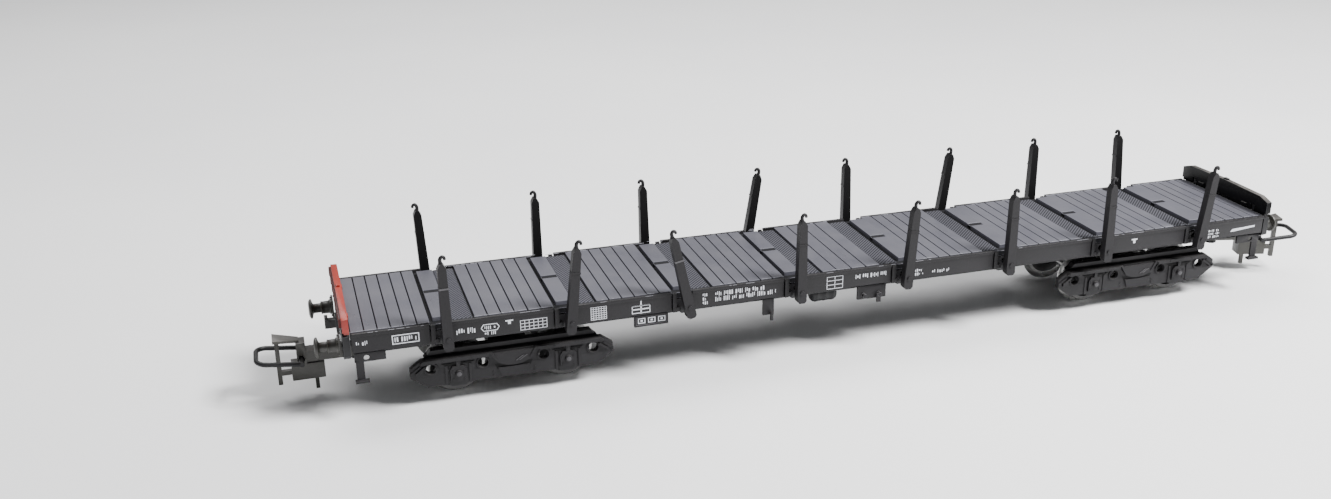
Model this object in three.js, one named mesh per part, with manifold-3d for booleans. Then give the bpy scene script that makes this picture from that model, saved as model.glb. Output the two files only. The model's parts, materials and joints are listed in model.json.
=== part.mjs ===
// H0 scale (1:87) four-axle stake flat car, in millimetres.
// X runs along the car, Y across it and Z up. Z = 0 is the bottom of the wheel flanges, and the
// origin is under the middle of the car. The near side is -Y, the far side +Y.
import * as THREE from 'three';
import { mergeVertices } from 'three/addons/utils/BufferGeometryUtils.js';
import Module from 'manifold-3d';

const wasm = await Module();
wasm.setup();

// ---------------------------------------------------------------- driving dimensions

const GAP = 0.3;                    // clearance between pieces that meet
const SINK = 0.1;                   // how far a joined detail reaches into its base
const DECK_HALF_LENGTH = 107.2;
const DECK_HALF_WIDTH = 14.6;
const DECK_TOP = 19.1;
const DECK_BOTTOM = 17.3;
const WHEEL_BACK = 7.2;             // half the distance between the backs of two wheels
const STATIONS = [-88.55, -63.25, -37.95, -12.65, 12.65, 37.95, 63.25, 88.55];
const PIVOT_HEIGHT = 16.0;          // stake pivots above the flange bottom
const BOGIE_CENTRE = 75;
const HALF_WHEELBASE = 11.5;
const AXLE_HEIGHT = 6.5;            // also the flange radius

// Deck: planks in bays between the stations, a raised bolster and a sunk tread plate at each
const DECK = {
  planksPerBay: 6,
  middlePlanks: 4,
  grooveWidth: 0.26,
  grooveDepth: 0.4,
  bolsterOut: 3.0,                  // bolster edge on the side towards the car's end
  bolsterIn: 1.2,                   // bolster edge on the side towards the car's middle
  bolsterRise: 0.3,
  bolsterHalfLength: 13.0,
  shelfSink: 0.6,                   // the shelf beyond a bolster's end, below the planks
  treadWidth: 4.6,
  treadSink: 0.5,
  splitCentre: 1.0,                 // the gap between a bolster's two halves
  splitWidth: 0.6,
};

// Side sills, as distances from the centre line and heights
const SILL = {
  inner: 13.9,
  skin: 14.9,                       // inner face of the upstand beside the deck
  web: 15.3,
  lip: 15.6,
  bottom: 14.8,
  shoulder: 17.0,                   // top of the thick part, under the deck's edge
  top: 19.0,
  lipUnderside: 18.4,
  pocketBack: 14.5,
  pocketLeft: 3.4,
  pocketRight: 1.2,
  postLeft: 3.1,                    // the socket post beside each stake
  postRight: 2.2,
  postFace: 15.5,
  postDrop: 0.3,
  lugOffset: 1.9,
  lugRise: 0.4,
  lugRadius: 0.55,
};

// Stakes, measured from the pivot
const STAKE = {
  back: 15.8,                       // distance of the inner face from the centre line
  depth: 1.8,
  foot: -2.5,
  footChamfer: 0.5,
  footHalf: 0.6,
  bodyHalf: 1.05,
  taperStart: 1.5,
  shoulderHalf: 0.85,
  shoulder: 15.2,
  peakHalf: 0.3,
  peak: 16.2,
  bandHeight: 10.8,
  bandThickness: 0.4,
  bandProud: 0.12,
  pinRadius: 0.5,
  hookRod: 0.22,
};
// Each stake stands in a loose socket and leans its own way, in degrees towards +X
const NEAR_LEANS = [-1, 6, -12, 0, 4, 0, -1, 6];
const FAR_LEANS = [-3, 0, -1, 9, -1, 7, 0, -4];

// Underframe and what hangs on it
const FRAME = {
  plateBottom: 13.7,
  plateTop: 15.7,
  screwHole: 1.4,
  keelHalfLength: 47,
  keelHalfWidth: 4,
  keelBottom: 10.9,
  bearerHalfWidth: 13.2,
  bearerTip: 13.1,
  bearerDip: 11.6,
  bearerDipHalf: 3.5,
  bearerHalfThickness: 0.6,
  pocketInner: 2.6,                 // the coupler pocket, inward of the swing pivot
  pocketHalfWidth: 2.6,
  pocketBottom: 11.0,
  pivotRadius: 0.7,
  pivotHeadRadius: 1.4,
  pivotHeadBottom: 7.2,
  pivotHeadTop: 7.7,
};
const BALLAST = { halfLength: 100, halfWidth: 12.4 };
const RESERVOIR = {
  across: -8, height: 11.3, from: -7, to: -0.6, radius: 2.0, strap: [-4.6, -3.0], strapHalf: 0.6,
};
const FITTING_SKIN = [-15.0, -14.4];  // inner and outer faces of the plates under the sills
const CHANGEOVER = {
  along: [1.6, 8.4], bottom: 11.4, knobs: [3.0, 6.6], knobHeight: 12.4, knobRadius: 0.5, knobReach: -15.9,
  handle: [5.9, 6.9], handleSkin: [-15.8, -15.4], handleHeights: [10.6, 12.6],
};
const LEVER = {
  along: [-20.6, -18.1], bottom: 10.8, pivot: [-19.0, 11.3], pivotRadius: 0.35, reach: -16.3,
  arm: [-19.3, -18.7], armSkin: [-16.3, -15.8], armHeights: [9.9, 11.5],
};
const LABEL = { along: [-49.4, -42.0], bottom: 12.0, border: 0.4, recess: 0.15 };

// Bogies, measured from the bogie's centre
const BOGIE = {
  plateInner: 11.7,
  plateOuter: 13.4,
  detailOuter: 13.9,
  tip: 21.3,
  tipTop: 8.5,
  tipBottom: 6.5,
  topHalf: 18.9,
  top: 10.2,
  bottomHalf: 17.8,
  bottom: 4.0,
  guardOut: 2.1,                    // axle guard, to each side of its axle
  guardSlope: 0.6,
  guardBottom: 3.5,
  ledgeHalf: 18.6,
  ledgeBottom: 9.7,
  railInner: 10.4,
  railBottomHalf: 17.6,
  railHalf: 18.2,
  railTopHalf: 16.8,
  railBottom: 9.4,
  railTop: 11.7,
  springHalf: 4.2,
  springBottom: 6.9,
  springTop: 9.6,
  boxHalf: 1.7,
  boxBottom: 4.4,
  boxTop: 8.1,
  journalOuter: 14.3,
  journalRadius: 1.1,
  cupDepth: 12.7,
  cupRadius: 1.05,
  holeRadius: 1.05,
  holeHeight: 8.0,
  holes: [-17, -6.4, 6.4, 17],
  beamHalf: 4,
  beamBottom: 7.6,
  beamTop: 9.7,
  bossRadius: 3,
  bossGap: 0.4,
  screwHead: [6.4, 7.2],
  screwHeadRadius: 2.0,
  screwTop: 15.3,
  screwRadius: 1.0,
};
const WHEEL = {
  bore: 1.05, flangeWidth: 0.6, flangeRoot: 5.6, flangeFillet: 0.9, treadOuter: 5.4, width: 2.8,
};
const AXLE = { radius: 0.7, shoulder: 11.5, tip: 12.3 };

// Ends
const HEAD = {
  inner: DECK_HALF_LENGTH + GAP,
  outer: 108.9,
  halfWidth: 15.3,
  top: 18.5,
  knee: 14.2,
  bottom: 12.6,
  bottomHalfWidth: 12.6,
  hookPlate: 109.4,
  hookPlateHalf: 1.6,
  hookPlateHeights: [13.4, 17.0],
  hookHalf: 0.8,
  hookTip: 111.6,
  hookHeights: [14.5, 16.3],
  hookEnd: 110.9,
  hookEndTop: 17.0,
};
const BUFFER = {
  spread: 10.2, height: 14.8, face: 114.4, headRadius: 2.1, headBack: 113.6, neck: 113.3,
  barrelRadius: 1.2, collarRadius: 1.6, collarLength: 0.7, faceRadius: 1.4, rim: 0.3, plate: 1.9,
  plateThickness: 0.4,
};
const WALL = {
  inner: 107.5,
  outer: 108.8,
  bottom: 19.5,
  skirtBottom: 18.95,               // the thin lower edge that closes the joint behind the deck
  skirtOuter: 108.5,
  skirtHalf: 15.2,
  halfWidth: 15.6,
  cornerTop: 22.3,
  slopeHalf: 12.8,
  slopeTop: 23.2,
  middleTop: 23.45,
  pivot: 108.15,
  pinRadius: 0.25,
  railHalf: 14.6,
  upperRail: [21.6, 22.2],
  lowerRail: [20.4, 20.8],
  railProud: 0.35,
  ribs: [-14.2, -9.5, -4.8, 0, 4.8, 9.5, 14.2],
  ribHalf: 0.35,
  ribProud: 0.5,
  ribHeights: [20.3, 22.2],
  latchHalf: 0.7,
  latchHeights: [23.2, 23.8],
  stopCentre: 8,
  stopHalf: 0.9,
  stopReach: 0.4,
  stopRise: 0.7,
};
const EAR = {
  inner: 10.5, outer: 11.3, back: 107.7, front: 108.6, rise: 0.6, hole: 0.4, slotRise: 1.1, pinReach: 1.5,
};
const STEP = {
  plate: [100.8, 107.0], skin: [-15.0, -14.5], plateBottom: 12.6, hole: [104.6, 13.4], holeRadius: 0.6,
  leg: [105.2, 106.8], legHeights: [8.3, 12.9], tread: [104.4, 107.2], treadSkin: [-15.7, -14.5],
  treadHeights: [8.2, 8.7],
};

// Couplers, measured from the swing pivot under the car
const COUPLER = {
  pivot: 105.8,
  rightSwing: -16,                  // degrees, swung towards the near side
  boss: 1.0,                        // radius of the hole for the swing pivot
  shank: { along: [-1.8, 10.4], half: 1.5, heights: [8.0, 10.4] },
  weight: { along: [6.7, 13.4], half: 1.7, heights: [4.2, 7.7] },
  upright: { along: [10.2, 12.1], half: 1.7, heights: [7.6, 12.4] },
  post: { along: [15.4, 16.3], half: 0.5, heights: [3.1, 13.0] },
  brace: { along: [13.3, 15.5], half: 0.5, heights: [5.1, 6.1] },
  tail: { along: [8.1, 8.9], half: 0.4, heights: [1.2, 4.3] },
  hookPlate: { root: 11.4, rootHalf: 0.9, tip: 16.6, tipHalf: 2.1, heights: [12.3, 12.9], slope: 0.16 },
};
const LOOP = { pivot: 11.2, height: 8.9, reach: 20.2, half: 4.2, rod: 0.5, corner: 2.2, tilt: 7 };

const DEGREE = Math.PI / 180;

// ---------------------------------------------------------------- solids

// A closed geometry with merged corners, turned inside out when its faces point inwards
function outward(geometry) {
  const bare = geometry.clone();
  bare.deleteAttribute('normal');
  bare.deleteAttribute('uv');
  const merged = mergeVertices(bare, 1e-4);
  const points = merged.attributes.position;
  const index = merged.index.array;
  const a = new THREE.Vector3();
  const b = new THREE.Vector3();
  const c = new THREE.Vector3();
  let volume = 0;
  for (let i = 0; i < index.length; i += 3) {
    a.fromBufferAttribute(points, index[i]);
    b.fromBufferAttribute(points, index[i + 1]);
    c.fromBufferAttribute(points, index[i + 2]);
    volume += a.dot(b.cross(c));
  }
  if (volume < 0) {
    for (let i = 0; i < index.length; i += 3) {
      const first = index[i];
      index[i] = index[i + 2];
      index[i + 2] = first;
    }
  }
  return merged;
}

function solid(geometry) {
  const closed = outward(geometry);
  return new wasm.Manifold(new wasm.Mesh({
    numProp: 3,
    vertProperties: new Float32Array(closed.attributes.position.array),
    triVerts: new Uint32Array(closed.index.array),
  }));
}

function geometryOf(body) {
  const mesh = body.getMesh();
  const geometry = new THREE.BufferGeometry();
  geometry.setAttribute('position', new THREE.BufferAttribute(new Float32Array(mesh.vertProperties), 3));
  geometry.setIndex(new THREE.BufferAttribute(new Uint32Array(mesh.triVerts), 1));
  return geometry;
}

function block([x0, x1], [y0, y1], [z0, z1]) {
  const geometry = new THREE.BoxGeometry(x1 - x0, y1 - y0, z1 - z0);
  geometry.translate((x0 + x1) / 2, (y0 + y1) / 2, (z0 + z1) / 2);
  return solid(geometry);
}

// The range from -size to size
function both(size) {
  return [-size, size];
}

// A range given outwards from the middle of the car, on its left or right side
function outwards(side, from, to) {
  return side > 0 ? [from, to] : [-to, -from];
}

// A round bar along axis 'x', 'y' or 'z', from one coordinate to the other on that axis
function bar(axis, [u, v], [from, to], radius, sides) {
  const geometry = new THREE.CylinderGeometry(radius, radius, to - from, sides);
  const middle = (from + to) / 2;
  if (axis === 'x') {
    geometry.rotateZ(Math.PI / 2);
    geometry.translate(middle, u, v);
  } else if (axis === 'y') {
    geometry.translate(u, middle, v);
  } else {
    geometry.rotateX(Math.PI / 2);
    geometry.translate(u, v, middle);
  }
  return solid(geometry);
}

function shapeOf(points) {
  return new THREE.Shape(points.map(([u, v]) => new THREE.Vector2(u, v)));
}

// An outline of (x, z) points carried across the car
function acrossPrism(points, [y0, y1]) {
  const geometry = new THREE.ExtrudeGeometry(shapeOf(points), { depth: y1 - y0, bevelEnabled: false });
  geometry.rotateX(Math.PI / 2);
  geometry.translate(0, y1, 0);
  return solid(geometry);
}

// An outline of (y, z) points carried along the car
function alongPrism(points, [x0, x1]) {
  const geometry = new THREE.ExtrudeGeometry(shapeOf(points), { depth: x1 - x0, bevelEnabled: false });
  const turn = new THREE.Matrix4().makeBasis(
    new THREE.Vector3(0, 1, 0), new THREE.Vector3(0, 0, 1), new THREE.Vector3(1, 0, 0));
  geometry.applyMatrix4(turn);
  geometry.translate(x0, 0, 0);
  return solid(geometry);
}

// An outline of (x, y) points carried up
function upPrism(points, [z0, z1]) {
  const geometry = new THREE.ExtrudeGeometry(shapeOf(points), { depth: z1 - z0, bevelEnabled: false });
  geometry.translate(0, 0, z0);
  return solid(geometry);
}

// The points of one half of an outline, followed by their mirror images in the first coordinate
function mirroredOutline(half) {
  return [...half, ...half.map(([u, v]) => [-u, v]).reverse()];
}

// A profile of (radius, y) points turned about the Y axis
function turned(profile, sides) {
  return outward(new THREE.LatheGeometry(profile.map(([r, y]) => new THREE.Vector2(r, y)), sides));
}

function ringSection(radius, sides) {
  const points = [];
  for (let i = 0; i < sides; i += 1) {
    const angle = (i / sides) * 2 * Math.PI;
    points.push([radius * Math.cos(angle), radius * Math.sin(angle)]);
  }
  return shapeOf(points);
}

function wire(path, radius, sides, steps) {
  return solid(new THREE.ExtrudeGeometry(ringSection(radius, sides), { steps, extrudePath: path }));
}

// ---------------------------------------------------------------- materials

function plastic(color, roughness) {
  return new THREE.MeshStandardMaterial({ color, roughness, metalness: 0 });
}

const paint = {
  deckGrey: () => plastic(0x5a5a5e, 0.6),
  charcoal: () => plastic(0x2c2b2d, 0.5),
  black: () => plastic(0x1b1b1d, 0.45),
  brickRed: () => plastic(0xb43a20, 0.5),
  steel: () => new THREE.MeshStandardMaterial({ color: 0xb9b9bb, roughness: 0.3, metalness: 1 }),
};

const car = new THREE.Group();

function add(name, geometry, material) {
  const mesh = new THREE.Mesh(geometry, material);
  mesh.name = name;
  car.add(mesh);
  return mesh;
}

// ---------------------------------------------------------------- deck

// A bay of planks, each [start, end, top]
function plankBay(start, end, count) {
  const pitch = (end - start) / count;
  const tiles = [];
  for (let i = 0; i < count; i += 1) {
    tiles.push([start + i * pitch, start + (i + 1) * pitch, DECK_TOP]);
  }
  return tiles;
}

// The bolster's two edges along the car at a station
function bolsterRange(x) {
  return x < 0 ? [x - DECK.bolsterOut, x + DECK.bolsterIn] : [x - DECK.bolsterIn, x + DECK.bolsterOut];
}

function stationTiles(x) {
  const bolster = bolsterRange(x);
  const bolsterTile = [...bolster, DECK_TOP + DECK.bolsterRise];
  const treadTop = DECK_TOP - DECK.treadSink;
  if (x < 0) {
    return [bolsterTile, [bolster[1], bolster[1] + DECK.treadWidth, treadTop]];
  }
  return [[bolster[0] - DECK.treadWidth, bolster[0], treadTop], bolsterTile];
}

// All tiles from left to right
function deckTiles() {
  const tiles = [];
  let edge = -DECK_HALF_LENGTH;
  for (const x of STATIONS) {
    const station = stationTiles(x);
    const planks = x > 0 && edge < 0 ? DECK.middlePlanks : DECK.planksPerBay;
    tiles.push(...plankBay(edge, station[0][0], planks), ...station);
    edge = station[1][1];
  }
  tiles.push(...plankBay(edge, DECK_HALF_LENGTH, DECK.planksPerBay));
  return tiles;
}

function deckOutline() {
  const tiles = deckTiles();
  const last = tiles.length - 1;
  const points = [[-DECK_HALF_LENGTH, DECK_BOTTOM]];
  tiles.forEach(([start, end, top], i) => {
    const left = i === 0 ? start : start + DECK.grooveWidth / 2;
    const right = i === last ? end : end - DECK.grooveWidth / 2;
    points.push([left, top], [right, top]);
    if (i < last) {
      const next = tiles[i + 1];
      const floor = Math.min(top, next[2], DECK_TOP - DECK.grooveDepth);
      if (floor < top) {
        points.push([right, floor]);
      }
      if (floor < next[2]) {
        points.push([next[0] + DECK.grooveWidth / 2, floor]);
      }
    }
  });
  points.push([DECK_HALF_LENGTH, DECK_BOTTOM]);
  return points;
}

function makeDeck() {
  let deck = acrossPrism(deckOutline(), both(DECK_HALF_WIDTH));
  const above = DECK_TOP + 1;
  for (const x of STATIONS) {
    const [start, end] = bolsterRange(x);
    const clear = [start + DECK.grooveWidth / 2, end - DECK.grooveWidth / 2];
    const split = [DECK.splitCentre - DECK.splitWidth / 2, DECK.splitCentre + DECK.splitWidth / 2];
    deck = deck.subtract(block([start, end], split, [DECK_TOP - DECK.grooveDepth, above]));
    for (const side of [-1, 1]) {
      const beyond = outwards(side, DECK.bolsterHalfLength, DECK_HALF_WIDTH + 1);
      deck = deck.subtract(block(clear, beyond, [DECK_TOP - DECK.shelfSink, above]));
    }
  }
  add('deck', geometryOf(deck), paint.deckGrey());
}

// ---------------------------------------------------------------- side sills

// The near sill. The far one is the same piece turned about the vertical axis.
function sillGeometry() {
  const section = [
    [-SILL.inner, SILL.bottom], [-SILL.inner, SILL.shoulder], [-SILL.skin, SILL.shoulder],
    [-SILL.skin, SILL.top], [-SILL.lip, SILL.top], [-SILL.lip, SILL.lipUnderside],
    [-SILL.web, SILL.lipUnderside], [-SILL.web, SILL.bottom],
  ];
  let sill = alongPrism(section, both(DECK_HALF_LENGTH));
  const backSkin = -SILL.pocketBack + SINK;
  for (const x of STATIONS) {
    const postSpan = [x - SILL.postLeft, x - SILL.postRight];
    const pocket = block([x - SILL.pocketLeft, x + SILL.pocketRight],
      [-SILL.lip - 1, -SILL.pocketBack], [SILL.bottom - 1, SILL.top + 1]);
    const postFoot = block(postSpan, [-SILL.postFace, backSkin],
      [SILL.bottom - SILL.postDrop, SILL.shoulder]);
    const postHead = block(postSpan, [-SILL.postFace, -SILL.skin],
      [SILL.shoulder - SINK, SILL.top - SILL.postDrop]);
    const lug = bar('y', [x - SILL.lugOffset, SILL.bottom + SILL.lugRise],
      [-SILL.lip, backSkin], SILL.lugRadius, 6);
    const pinHole = bar('y', [x, PIVOT_HEIGHT], [-SILL.lip, -SILL.inner + 1], STAKE.pinRadius + GAP, 8);
    sill = sill.subtract(pocket).add(postFoot).add(postHead).add(lug).subtract(pinHole);
  }
  return geometryOf(sill);
}

function makeSills() {
  const sill = sillGeometry();
  add('side_sill_near', sill, paint.charcoal());
  add('side_sill_far', sill, paint.charcoal()).rotation.z = Math.PI;
}

// ---------------------------------------------------------------- stakes

// A crook that rises from the stake's peak and curls over towards +X
function hookPath() {
  const y = -STAKE.depth / 2;
  return new THREE.CatmullRomCurve3([
    new THREE.Vector3(-0.1, y, STAKE.peak - 0.4),
    new THREE.Vector3(-0.2, y, STAKE.peak + 0.9),
    new THREE.Vector3(0.25, y, STAKE.peak + 1.7),
    new THREE.Vector3(0.8, y, STAKE.peak + 1.4),
    new THREE.Vector3(0.85, y, STAKE.peak + 0.8),
  ]);
}

// The stake's origin is its pivot, on the inner face, with the post on the -Y side
function stakeGeometry() {
  const outline = mirroredOutline([
    [STAKE.footHalf, STAKE.foot], [STAKE.bodyHalf, STAKE.foot + STAKE.footChamfer],
    [STAKE.bodyHalf, STAKE.taperStart], [STAKE.shoulderHalf, STAKE.shoulder], [STAKE.peakHalf, STAKE.peak],
  ]);
  const post = acrossPrism(outline, [-STAKE.depth, 0]);
  const band = block(both(STAKE.bodyHalf), [-STAKE.depth - STAKE.bandProud, 0],
    [STAKE.bandHeight, STAKE.bandHeight + STAKE.bandThickness]);
  const pin = bar('y', [0, 0], [-STAKE.depth - GAP, STAKE.back - SILL.inner - GAP], STAKE.pinRadius, 6);
  const hook = wire(hookPath(), STAKE.hookRod, 4, 5);
  return geometryOf(post.add(band).add(pin).add(hook));
}

function makeStakes() {
  const geometry = stakeGeometry();
  STATIONS.forEach((x, i) => {
    const near = add(`stake_near_${i + 1}`, geometry, paint.charcoal());
    near.position.set(x, -STAKE.back, PIVOT_HEIGHT);
    near.rotation.set(0, NEAR_LEANS[i] * DEGREE, 0);
    const far = add(`stake_far_${i + 1}`, geometry, paint.charcoal());
    far.position.set(x, STAKE.back, PIVOT_HEIGHT);
    far.rotation.set(0, FAR_LEANS[i] * DEGREE, Math.PI);
  });
}

// ---------------------------------------------------------------- underframe

function underframeGeometry() {
  const end = DECK_HALF_LENGTH - GAP;
  const top = FRAME.plateBottom + SINK;
  let frame = block(both(end), both(SILL.inner - GAP), [FRAME.plateBottom, FRAME.plateTop]);
  frame = frame.add(block(both(FRAME.keelHalfLength), both(FRAME.keelHalfWidth), [FRAME.keelBottom, top]));
  const bearer = mirroredOutline([
    [FRAME.bearerHalfWidth, top], [FRAME.bearerHalfWidth, FRAME.bearerTip],
    [FRAME.bearerDipHalf, FRAME.bearerDip],
  ]);
  for (const x of STATIONS.slice(2, -2)) {
    frame = frame.add(alongPrism(bearer, [x - FRAME.bearerHalfThickness, x + FRAME.bearerHalfThickness]));
  }
  for (const side of [-1, 1]) {
    const pivot = [side * COUPLER.pivot, 0];
    frame = frame.add(block(outwards(side, COUPLER.pivot - FRAME.pocketInner, end),
      both(FRAME.pocketHalfWidth), [FRAME.pocketBottom, top]));
    frame = frame.add(bar('z', pivot, [FRAME.pivotHeadTop - SINK, FRAME.plateBottom], FRAME.pivotRadius, 8));
    frame = frame.add(bar('z', pivot, [FRAME.pivotHeadBottom, FRAME.pivotHeadTop], FRAME.pivotHeadRadius, 8));
    frame = frame.subtract(bar('z', [side * BOGIE_CENTRE, 0],
      [FRAME.plateBottom - 1, FRAME.plateTop + 1], FRAME.screwHole, 12));
  }
  return geometryOf(frame);
}

function reservoirGeometry() {
  const tank = bar('x', [RESERVOIR.across, RESERVOIR.height],
    [RESERVOIR.from, RESERVOIR.to], RESERVOIR.radius, 16);
  const strap = block(RESERVOIR.strap,
    [RESERVOIR.across - RESERVOIR.strapHalf, RESERVOIR.across + RESERVOIR.strapHalf],
    [RESERVOIR.height, FRAME.plateBottom - GAP]);
  return geometryOf(tank.add(strap));
}

function makeUnderframe() {
  add('underframe', underframeGeometry(), paint.black());
  const ballast = block(both(BALLAST.halfLength), both(BALLAST.halfWidth),
    [FRAME.plateTop + GAP, DECK_BOTTOM - GAP]);
  add('ballast_plate', geometryOf(ballast), paint.steel());
  add('air_reservoir', reservoirGeometry(), paint.black());
}

// ---------------------------------------------------------------- fittings under the sills

const HANG = SILL.bottom - GAP;       // top of what hangs under a sill

function changeoverGeometry() {
  let plate = block(CHANGEOVER.along, FITTING_SKIN, [CHANGEOVER.bottom, HANG]);
  for (const x of CHANGEOVER.knobs) {
    plate = plate.add(bar('y', [x, CHANGEOVER.knobHeight], [CHANGEOVER.knobReach, FITTING_SKIN[1]],
      CHANGEOVER.knobRadius, 8));
  }
  return geometryOf(plate.add(block(CHANGEOVER.handle, CHANGEOVER.handleSkin, CHANGEOVER.handleHeights)));
}

function leverGeometry() {
  const plate = block(LEVER.along, FITTING_SKIN, [LEVER.bottom, HANG]);
  const pivot = bar('y', LEVER.pivot, [LEVER.reach, FITTING_SKIN[1]], LEVER.pivotRadius, 8);
  return geometryOf(plate.add(pivot).add(block(LEVER.arm, LEVER.armSkin, LEVER.armHeights)));
}

function labelGeometry() {
  const [start, end] = LABEL.along;
  const plate = block(LABEL.along, FITTING_SKIN, [LABEL.bottom, HANG]);
  const recess = block([start + LABEL.border, end - LABEL.border],
    [FITTING_SKIN[0] - 1, FITTING_SKIN[0] + LABEL.recess],
    [LABEL.bottom + LABEL.border, HANG - LABEL.border]);
  return geometryOf(plate.subtract(recess));
}

// Those on the far side are turned about the vertical axis
function makeFittings() {
  const changeover = changeoverGeometry();
  const label = labelGeometry();
  for (const [side, angle] of [['near', 0], ['far', Math.PI]]) {
    add(`changeover_plate_${side}`, changeover, paint.black()).rotation.z = angle;
    add(`label_plate_${side}`, label, paint.black()).rotation.z = angle;
  }
  add('release_lever_near', leverGeometry(), paint.black());
}

// ---------------------------------------------------------------- bogies

// The lower edge of a side plate, with a deeper guard under each axle
function bogieOutline() {
  const guard = HALF_WHEELBASE + BOGIE.guardOut;
  const guardIn = HALF_WHEELBASE - BOGIE.guardOut;
  return mirroredOutline([
    [guardIn, BOGIE.bottom], [guardIn + BOGIE.guardSlope, BOGIE.guardBottom],
    [guard - BOGIE.guardSlope, BOGIE.guardBottom], [guard, BOGIE.bottom],
    [BOGIE.bottomHalf, BOGIE.bottom], [BOGIE.tip, BOGIE.tipBottom], [BOGIE.tip, BOGIE.tipTop],
    [BOGIE.topHalf, BOGIE.top],
  ]);
}

// The rail behind the side plate, which stands higher than the plate
function bogieRailOutline() {
  return mirroredOutline([
    [BOGIE.railBottomHalf, BOGIE.railBottom], [BOGIE.railHalf, BOGIE.top], [BOGIE.railTopHalf, BOGIE.railTop],
  ]);
}

// The near side plate with its raised details
function bogieSide() {
  const proud = [-BOGIE.detailOuter, -BOGIE.plateOuter + SINK];
  const through = [-BOGIE.detailOuter - 1, -BOGIE.plateInner + SINK];
  let side = acrossPrism(bogieOutline(), [-BOGIE.plateOuter, -BOGIE.plateInner]);
  side = side.add(block(both(BOGIE.ledgeHalf), proud, [BOGIE.ledgeBottom, BOGIE.top]));
  side = side.add(acrossPrism(bogieRailOutline(), [-BOGIE.plateInner - SINK, -BOGIE.railInner]));
  side = side.add(block(both(BOGIE.springHalf), proud, [BOGIE.springBottom, BOGIE.springTop]));
  for (const x of both(HALF_WHEELBASE)) {
    side = side.add(block([x - BOGIE.boxHalf, x + BOGIE.boxHalf], proud, [BOGIE.boxBottom, BOGIE.boxTop]));
    side = side.add(bar('y', [x, AXLE_HEIGHT], [-BOGIE.journalOuter, proud[1]], BOGIE.journalRadius, 8));
    side = side.subtract(bar('y', [x, AXLE_HEIGHT], [-BOGIE.cupDepth, through[1]], BOGIE.cupRadius, 8));
  }
  for (const x of BOGIE.holes) {
    side = side.subtract(bar('y', [x, BOGIE.holeHeight], through, BOGIE.holeRadius, 8));
  }
  return side;
}

function bogieGeometry() {
  const side = bogieSide();
  const beam = block(both(BOGIE.beamHalf), both(BOGIE.plateInner + SINK), [BOGIE.beamBottom, BOGIE.beamTop]);
  const boss = bar('z', [0, 0], [BOGIE.beamTop - SINK, FRAME.plateBottom - BOGIE.bossGap],
    BOGIE.bossRadius, 12);
  const hole = bar('z', [0, 0], [BOGIE.beamBottom - 1, FRAME.plateBottom], FRAME.screwHole, 12);
  return geometryOf(side.add(side.rotate([0, 0, 180])).add(beam).add(boss).subtract(hole));
}

function screwGeometry() {
  const head = bar('z', [0, 0], BOGIE.screwHead, BOGIE.screwHeadRadius, 14);
  const shaft = bar('z', [0, 0], [BOGIE.screwHead[1] - SINK, BOGIE.screwTop], BOGIE.screwRadius, 10);
  return geometryOf(head.add(shaft));
}

// The far wheel's profile, from the back of the flange to the outer face
function wheelGeometry() {
  return turned([
    [WHEEL.bore, WHEEL_BACK], [AXLE_HEIGHT, WHEEL_BACK], [AXLE_HEIGHT, WHEEL_BACK + WHEEL.flangeWidth],
    [WHEEL.flangeRoot, WHEEL_BACK + WHEEL.flangeFillet], [WHEEL.treadOuter, WHEEL_BACK + WHEEL.width],
    [WHEEL.bore, WHEEL_BACK + WHEEL.width], [WHEEL.bore, WHEEL_BACK],
  ], 20);
}

function axleGeometry() {
  return turned([
    [0, -AXLE.tip], [AXLE.radius, -AXLE.shoulder], [AXLE.radius, AXLE.shoulder], [0, AXLE.tip],
  ], 8);
}

function makeBogies() {
  const frame = bogieGeometry();
  const screw = screwGeometry();
  const wheel = wheelGeometry();
  const axle = axleGeometry();
  for (const [end, centre] of [['left', -BOGIE_CENTRE], ['right', BOGIE_CENTRE]]) {
    add(`bogie_frame_${end}`, frame, paint.charcoal()).position.x = centre;
    add(`bogie_screw_${end}`, screw, paint.steel()).position.x = centre;
    for (const [place, offset] of [['a', -HALF_WHEELBASE], ['b', HALF_WHEELBASE]]) {
      const x = centre + offset;
      add(`axle_${end}_${place}`, axle, paint.steel()).position.set(x, 0, AXLE_HEIGHT);
      for (const [side, angle] of [['near', Math.PI], ['far', 0]]) {
        const piece = add(`wheel_${end}_${place}_${side}`, wheel, paint.steel());
        piece.position.set(x, 0, AXLE_HEIGHT);
        piece.rotation.z = angle;
      }
    }
  }
}

// ---------------------------------------------------------------- ends

// The right-hand pieces. The left-hand ones are turned about the vertical axis.
function headstockGeometry() {
  const beam = mirroredOutline([
    [HEAD.bottomHalfWidth, HEAD.bottom], [HEAD.halfWidth, HEAD.knee], [HEAD.halfWidth, HEAD.top],
  ]);
  let stock = alongPrism(beam, [HEAD.inner, HEAD.outer]);
  for (const side of [-1, 1]) {
    const across = outwards(side, EAR.inner, EAR.outer);
    stock = stock.add(block([EAR.back, EAR.front], across, [HEAD.top - SINK, WALL.bottom + EAR.rise]));
    stock = stock.subtract(bar('y', [WALL.pivot, WALL.bottom], [across[0] - 1, across[1] + 1], EAR.hole, 8));
  }
  const plate = block([HEAD.outer - SINK, HEAD.hookPlate], both(HEAD.hookPlateHalf), HEAD.hookPlateHeights);
  const hook = block([HEAD.hookPlate - SINK, HEAD.hookTip], both(HEAD.hookHalf), HEAD.hookHeights);
  const hookEnd = block([HEAD.hookEnd, HEAD.hookTip], both(HEAD.hookHalf),
    [HEAD.hookHeights[0], HEAD.hookEndTop]);
  return geometryOf(stock.add(plate).add(hook).add(hookEnd));
}

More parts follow.
